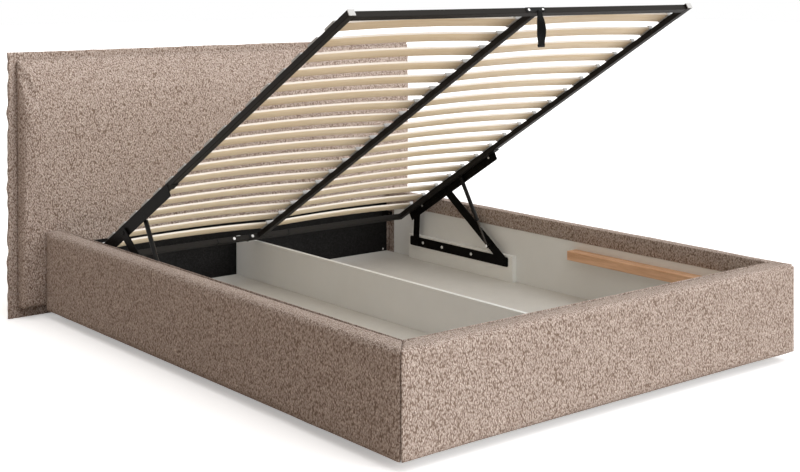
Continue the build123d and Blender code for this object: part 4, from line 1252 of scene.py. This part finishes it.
class BED_OT_finishes(bpy.types.Operator):
    """Makes the materials that the pieces share"""

    bl_idname = "bed.finishes"
    bl_label = "Finishes"

    def execute(self, context):
        finishes = context.scene.bed_finishes
        oak_dark = [c * f for c, f in zip(finishes.oak, (0.55, 0.45, 0.35))]
        make_loop_weave()
        make_wood_grain()
        make_edge_wear_and_highlight()
        make_settled_dust()
        make_boucle("boucle cover", context.scene.bed_fabric)
        make_board("melamine board", finishes.melamine, roughness=0.42)
        make_board("mount board", finishes.mount, roughness=0.50, patch=0.10, edge=0.1)
        make_board("floor board", finishes.floor_board, roughness=0.55, patch=0.12, speck=0.10)
        make_board("raw chipboard", finishes.chipboard, roughness=0.75, patch=0.35, speck=0.5, bump=0.0004)
        make_board("black board", finishes.black_board, roughness=0.75, patch=0.5, speck=0.6, edge=0.1,
                   gloss=0.12)
        make_wood("oiled oak", finishes.oak, oak_dark, fineness=1.3, figure=0.8, along="y")
        make_slat_birch(finishes)
        # the plates, links, pins and struts take the darker black, which is partly their own black coat and
        # partly painted shade
        make_metal("black steel", finishes.shaded_black_steel, roughness=0.40, edge_wear_and_highlight_rgb=(0.08, 0.075, 0.065),
                   edge_wear_and_highlight=0.15, speck=0.10, gloss=0.04)
        # the tube edges are lightened more than the rest, partly as wear and partly as a painted highlight
        # along their rounded edges
        make_metal("tube paint", finishes.tube_paint, roughness=0.42, edge_wear_and_highlight_rgb=(0.16, 0.15, 0.13),
                   edge_wear_and_highlight=0.35, speck=0.12, gloss=0.05)
        make_metal("strut enamel", finishes.shaded_black_steel, roughness=0.30, edge_wear_and_highlight_rgb=(0.10, 0.10, 0.10),
                   edge_wear_and_highlight=0.2, coat=0.12, gloss=0.10)
        make_metal("strut rod", (0.055, 0.050, 0.045), roughness=0.22, edge_wear_and_highlight_rgb=(0.3, 0.3, 0.3),
                   edge_wear_and_highlight=0.2, metallic=1.0)
        make_metal("zinc plate", finishes.zinc, roughness=0.32, edge_wear_and_highlight_rgb=(0.9, 0.9, 0.9),
                   edge_wear_and_highlight=0.3, metallic=0.45)
        make_metal("black plastic", finishes.black_plastic, roughness=0.55, edge_wear_and_highlight_rgb=(0.05, 0.05, 0.05),
                   edge_wear_and_highlight=0.15, speck=0.08, gloss=0.15)
        make_metal("white plastic", finishes.white_plastic, roughness=0.40, edge_wear_and_highlight_rgb=(0.9, 0.9, 0.9),
                   edge_wear_and_highlight=0.1, speck=0.04)
        make_webbing("strap webbing", finishes.webbing)
        return {"FINISHED"}


# stage

BLACK, WHITE = (0.0, 0.0, 0.0, 1.0), (1.0, 1.0, 1.0, 1.0)
FLOOR_WIDTH, FLOOR_GLOW = 60.0, 0.35
# where the light from above is strongest, and where the two lamps' light comes from, with their width
OVERHEAD_WAY = (0.30, -0.35, 0.88)
LAMP_WAY, LAMP_ANGLE = (0.42, -0.90, 0.12), 42.0
FILL_WAY, FILL_ANGLE, FILL_SHARE = (-0.02, -0.97, 0.24), 70.0, 0.26
DAYLIGHT = (0.96, 0.98, 1.0)


def seen_directly(tree):
    """1 for the rays that show the background: to the camera, mirrored or through glass."""
    path = shader_node(tree, "ShaderNodeLightPath")
    seen = compute(tree, "MAXIMUM", path.outputs["Is Camera Ray"], path.outputs["Is Glossy Ray"])
    return compute(tree, "MAXIMUM", seen, path.outputs["Is Transmission Ray"])


def make_floor(settings):
    """A floor that is seen white and lights the bed with its own colour."""
    clear_selection()
    bpy.ops.mesh.primitive_plane_add(size=FLOOR_WIDTH)
    floor = settle(bpy.context.object, "floor")
    material, tree, shader = start_material(
        "studio floor", Roughness=0.9, Specular_IOR_Level=0.0, Emission_Strength=FLOOR_GLOW,
    )
    seen = seen_directly(tree)
    grain = shader_node(tree, "ShaderNodeTexNoise", {"Vector": object_vector(tree), "Scale": 3.0})
    base = mix_colours(tree, compute(tree, "MULTIPLY", grain.outputs["Fac"], 0.05),
                       full(settings.floor_colour), toned(settings.floor_colour, 0.9))
    tree.links.new(mix_colours(tree, seen, base, WHITE), shader.inputs["Base Color"])
    tree.links.new(mix_colours(tree, seen, BLACK, WHITE), shader.inputs["Emission Color"])
    paint(floor, material)


def make_world(scene, settings):
    """A white background, with soft light from above and warmer light from near the floor."""
    world = bpy.data.worlds.new("studio")
    scene.world = world
    world.use_nodes = True
    tree = world.node_tree
    back = tree.nodes["Background"]
    where = shader_node(tree, "ShaderNodeTexCoord").outputs["Generated"]
    dot = shader_node(tree, "ShaderNodeVectorMath", {
        0: where, 1: tuple(Vector(OVERHEAD_WAY).normalized()),
    }, operation="DOT_PRODUCT")
    lobe = compute(tree, "POWER", compute(tree, "MAXIMUM", dot.outputs["Value"], 0.0), 2.0)
    glow = compute(tree, "MULTIPLY", lobe, settings.overhead_strength)
    seen = seen_directly(tree)
    strength = compute(tree, "MAXIMUM", compute(tree, "ADD", glow, settings.sky_strength), seen)
    plain = compute(tree, "MAXIMUM", spread(tree, lobe, 0.0, 0.5), seen)
    tree.links.new(mix_colours(tree, plain, full(settings.low_light), WHITE), back.inputs["Color"])
    tree.links.new(strength, back.inputs["Strength"])


def add_sun(name, place, way, strength, angle):
    """A sun whose light comes from the way given, as wide as the angle in degrees."""
    clear_selection()
    bpy.ops.object.light_add(type="SUN", location=place)
    lamp = bpy.context.object
    lamp.name = name
    lamp.rotation_euler = Vector(way).to_track_quat("Z", "Y").to_euler()
    lamp.data.energy = strength
    lamp.data.angle = math.radians(angle)
    lamp.data.color = DAYLIGHT


class BED_OT_stage(bpy.types.Operator):
    """Makes the floor, the light and the camera"""

    bl_idname = "bed.stage"
    bl_label = "Stage"

    def execute(self, context):
        settings = context.scene.bed_stage
        scene = context.scene
        make_floor(settings)
        make_world(scene, settings)
        add_sun("wide lamp", (1.0, -2.0, 3.0), LAMP_WAY, settings.lamp_strength, LAMP_ANGLE)
        add_sun("front fill", (0.0, -3.0, 2.0), FILL_WAY, settings.lamp_strength * FILL_SHARE, FILL_ANGLE)
        bpy.ops.object.camera_add(location=settings.camera_place,
                                  rotation=(math.radians(90.0), 0.0, settings.camera_turn))
        camera = bpy.context.object
        camera.name = "camera"
        camera.data.lens = settings.lens
        camera.data.sensor_width = 36.0
        camera.data.shift_x = settings.shift[0]
        camera.data.shift_y = settings.shift[1]
        camera.data.clip_end = 100.0
        scene.camera = camera
        scene.view_settings.view_transform = "Standard"
        return {"FINISHED"}


# panel and run

OPERATORS = (
    BED_OT_stage, BED_OT_finishes, BED_OT_headboard_cushion, BED_OT_headboard_flange, BED_OT_side_rails,
    BED_OT_foot_rail, BED_OT_boards, BED_OT_battens, BED_OT_mechanism, BED_OT_deck_frame, BED_OT_slats,
    BED_OT_screws, BED_OT_pull_strap,
)
SETTINGS = (
    ("bed_fabric", BedFabric), ("bed_finishes", BedFinishes), ("bed_padding", BedPadding),
    ("bed_stage", BedStage),
)


class BED_PT_pieces(bpy.types.Panel):
    """Lists the steps that dress the bed"""

    bl_idname = "BED_PT_pieces"
    bl_label = "Storage bed"
    bl_space_type = "VIEW_3D"
    bl_region_type = "UI"
    bl_category = "Bed"

    def draw(self, context):
        for step in OPERATORS:
            self.layout.operator(step.bl_idname)


def register():
    for name, group in SETTINGS:
        bpy.utils.register_class(group)
        setattr(bpy.types.Scene, name, bpy.props.PointerProperty(type=group))
    for step in OPERATORS:
        bpy.utils.register_class(step)
    bpy.utils.register_class(BED_PT_pieces)


def unregister():
    bpy.utils.unregister_class(BED_PT_pieces)
    for step in reversed(OPERATORS):
        bpy.utils.unregister_class(step)
    for name, group in reversed(SETTINGS):
        delattr(bpy.types.Scene, name)
        bpy.utils.unregister_class(group)


def main():
    register()
    for step in OPERATORS:
        family, name = step.bl_idname.split(".")
        getattr(getattr(bpy.ops, family), name)()


if __name__ == "__main__":
    main()
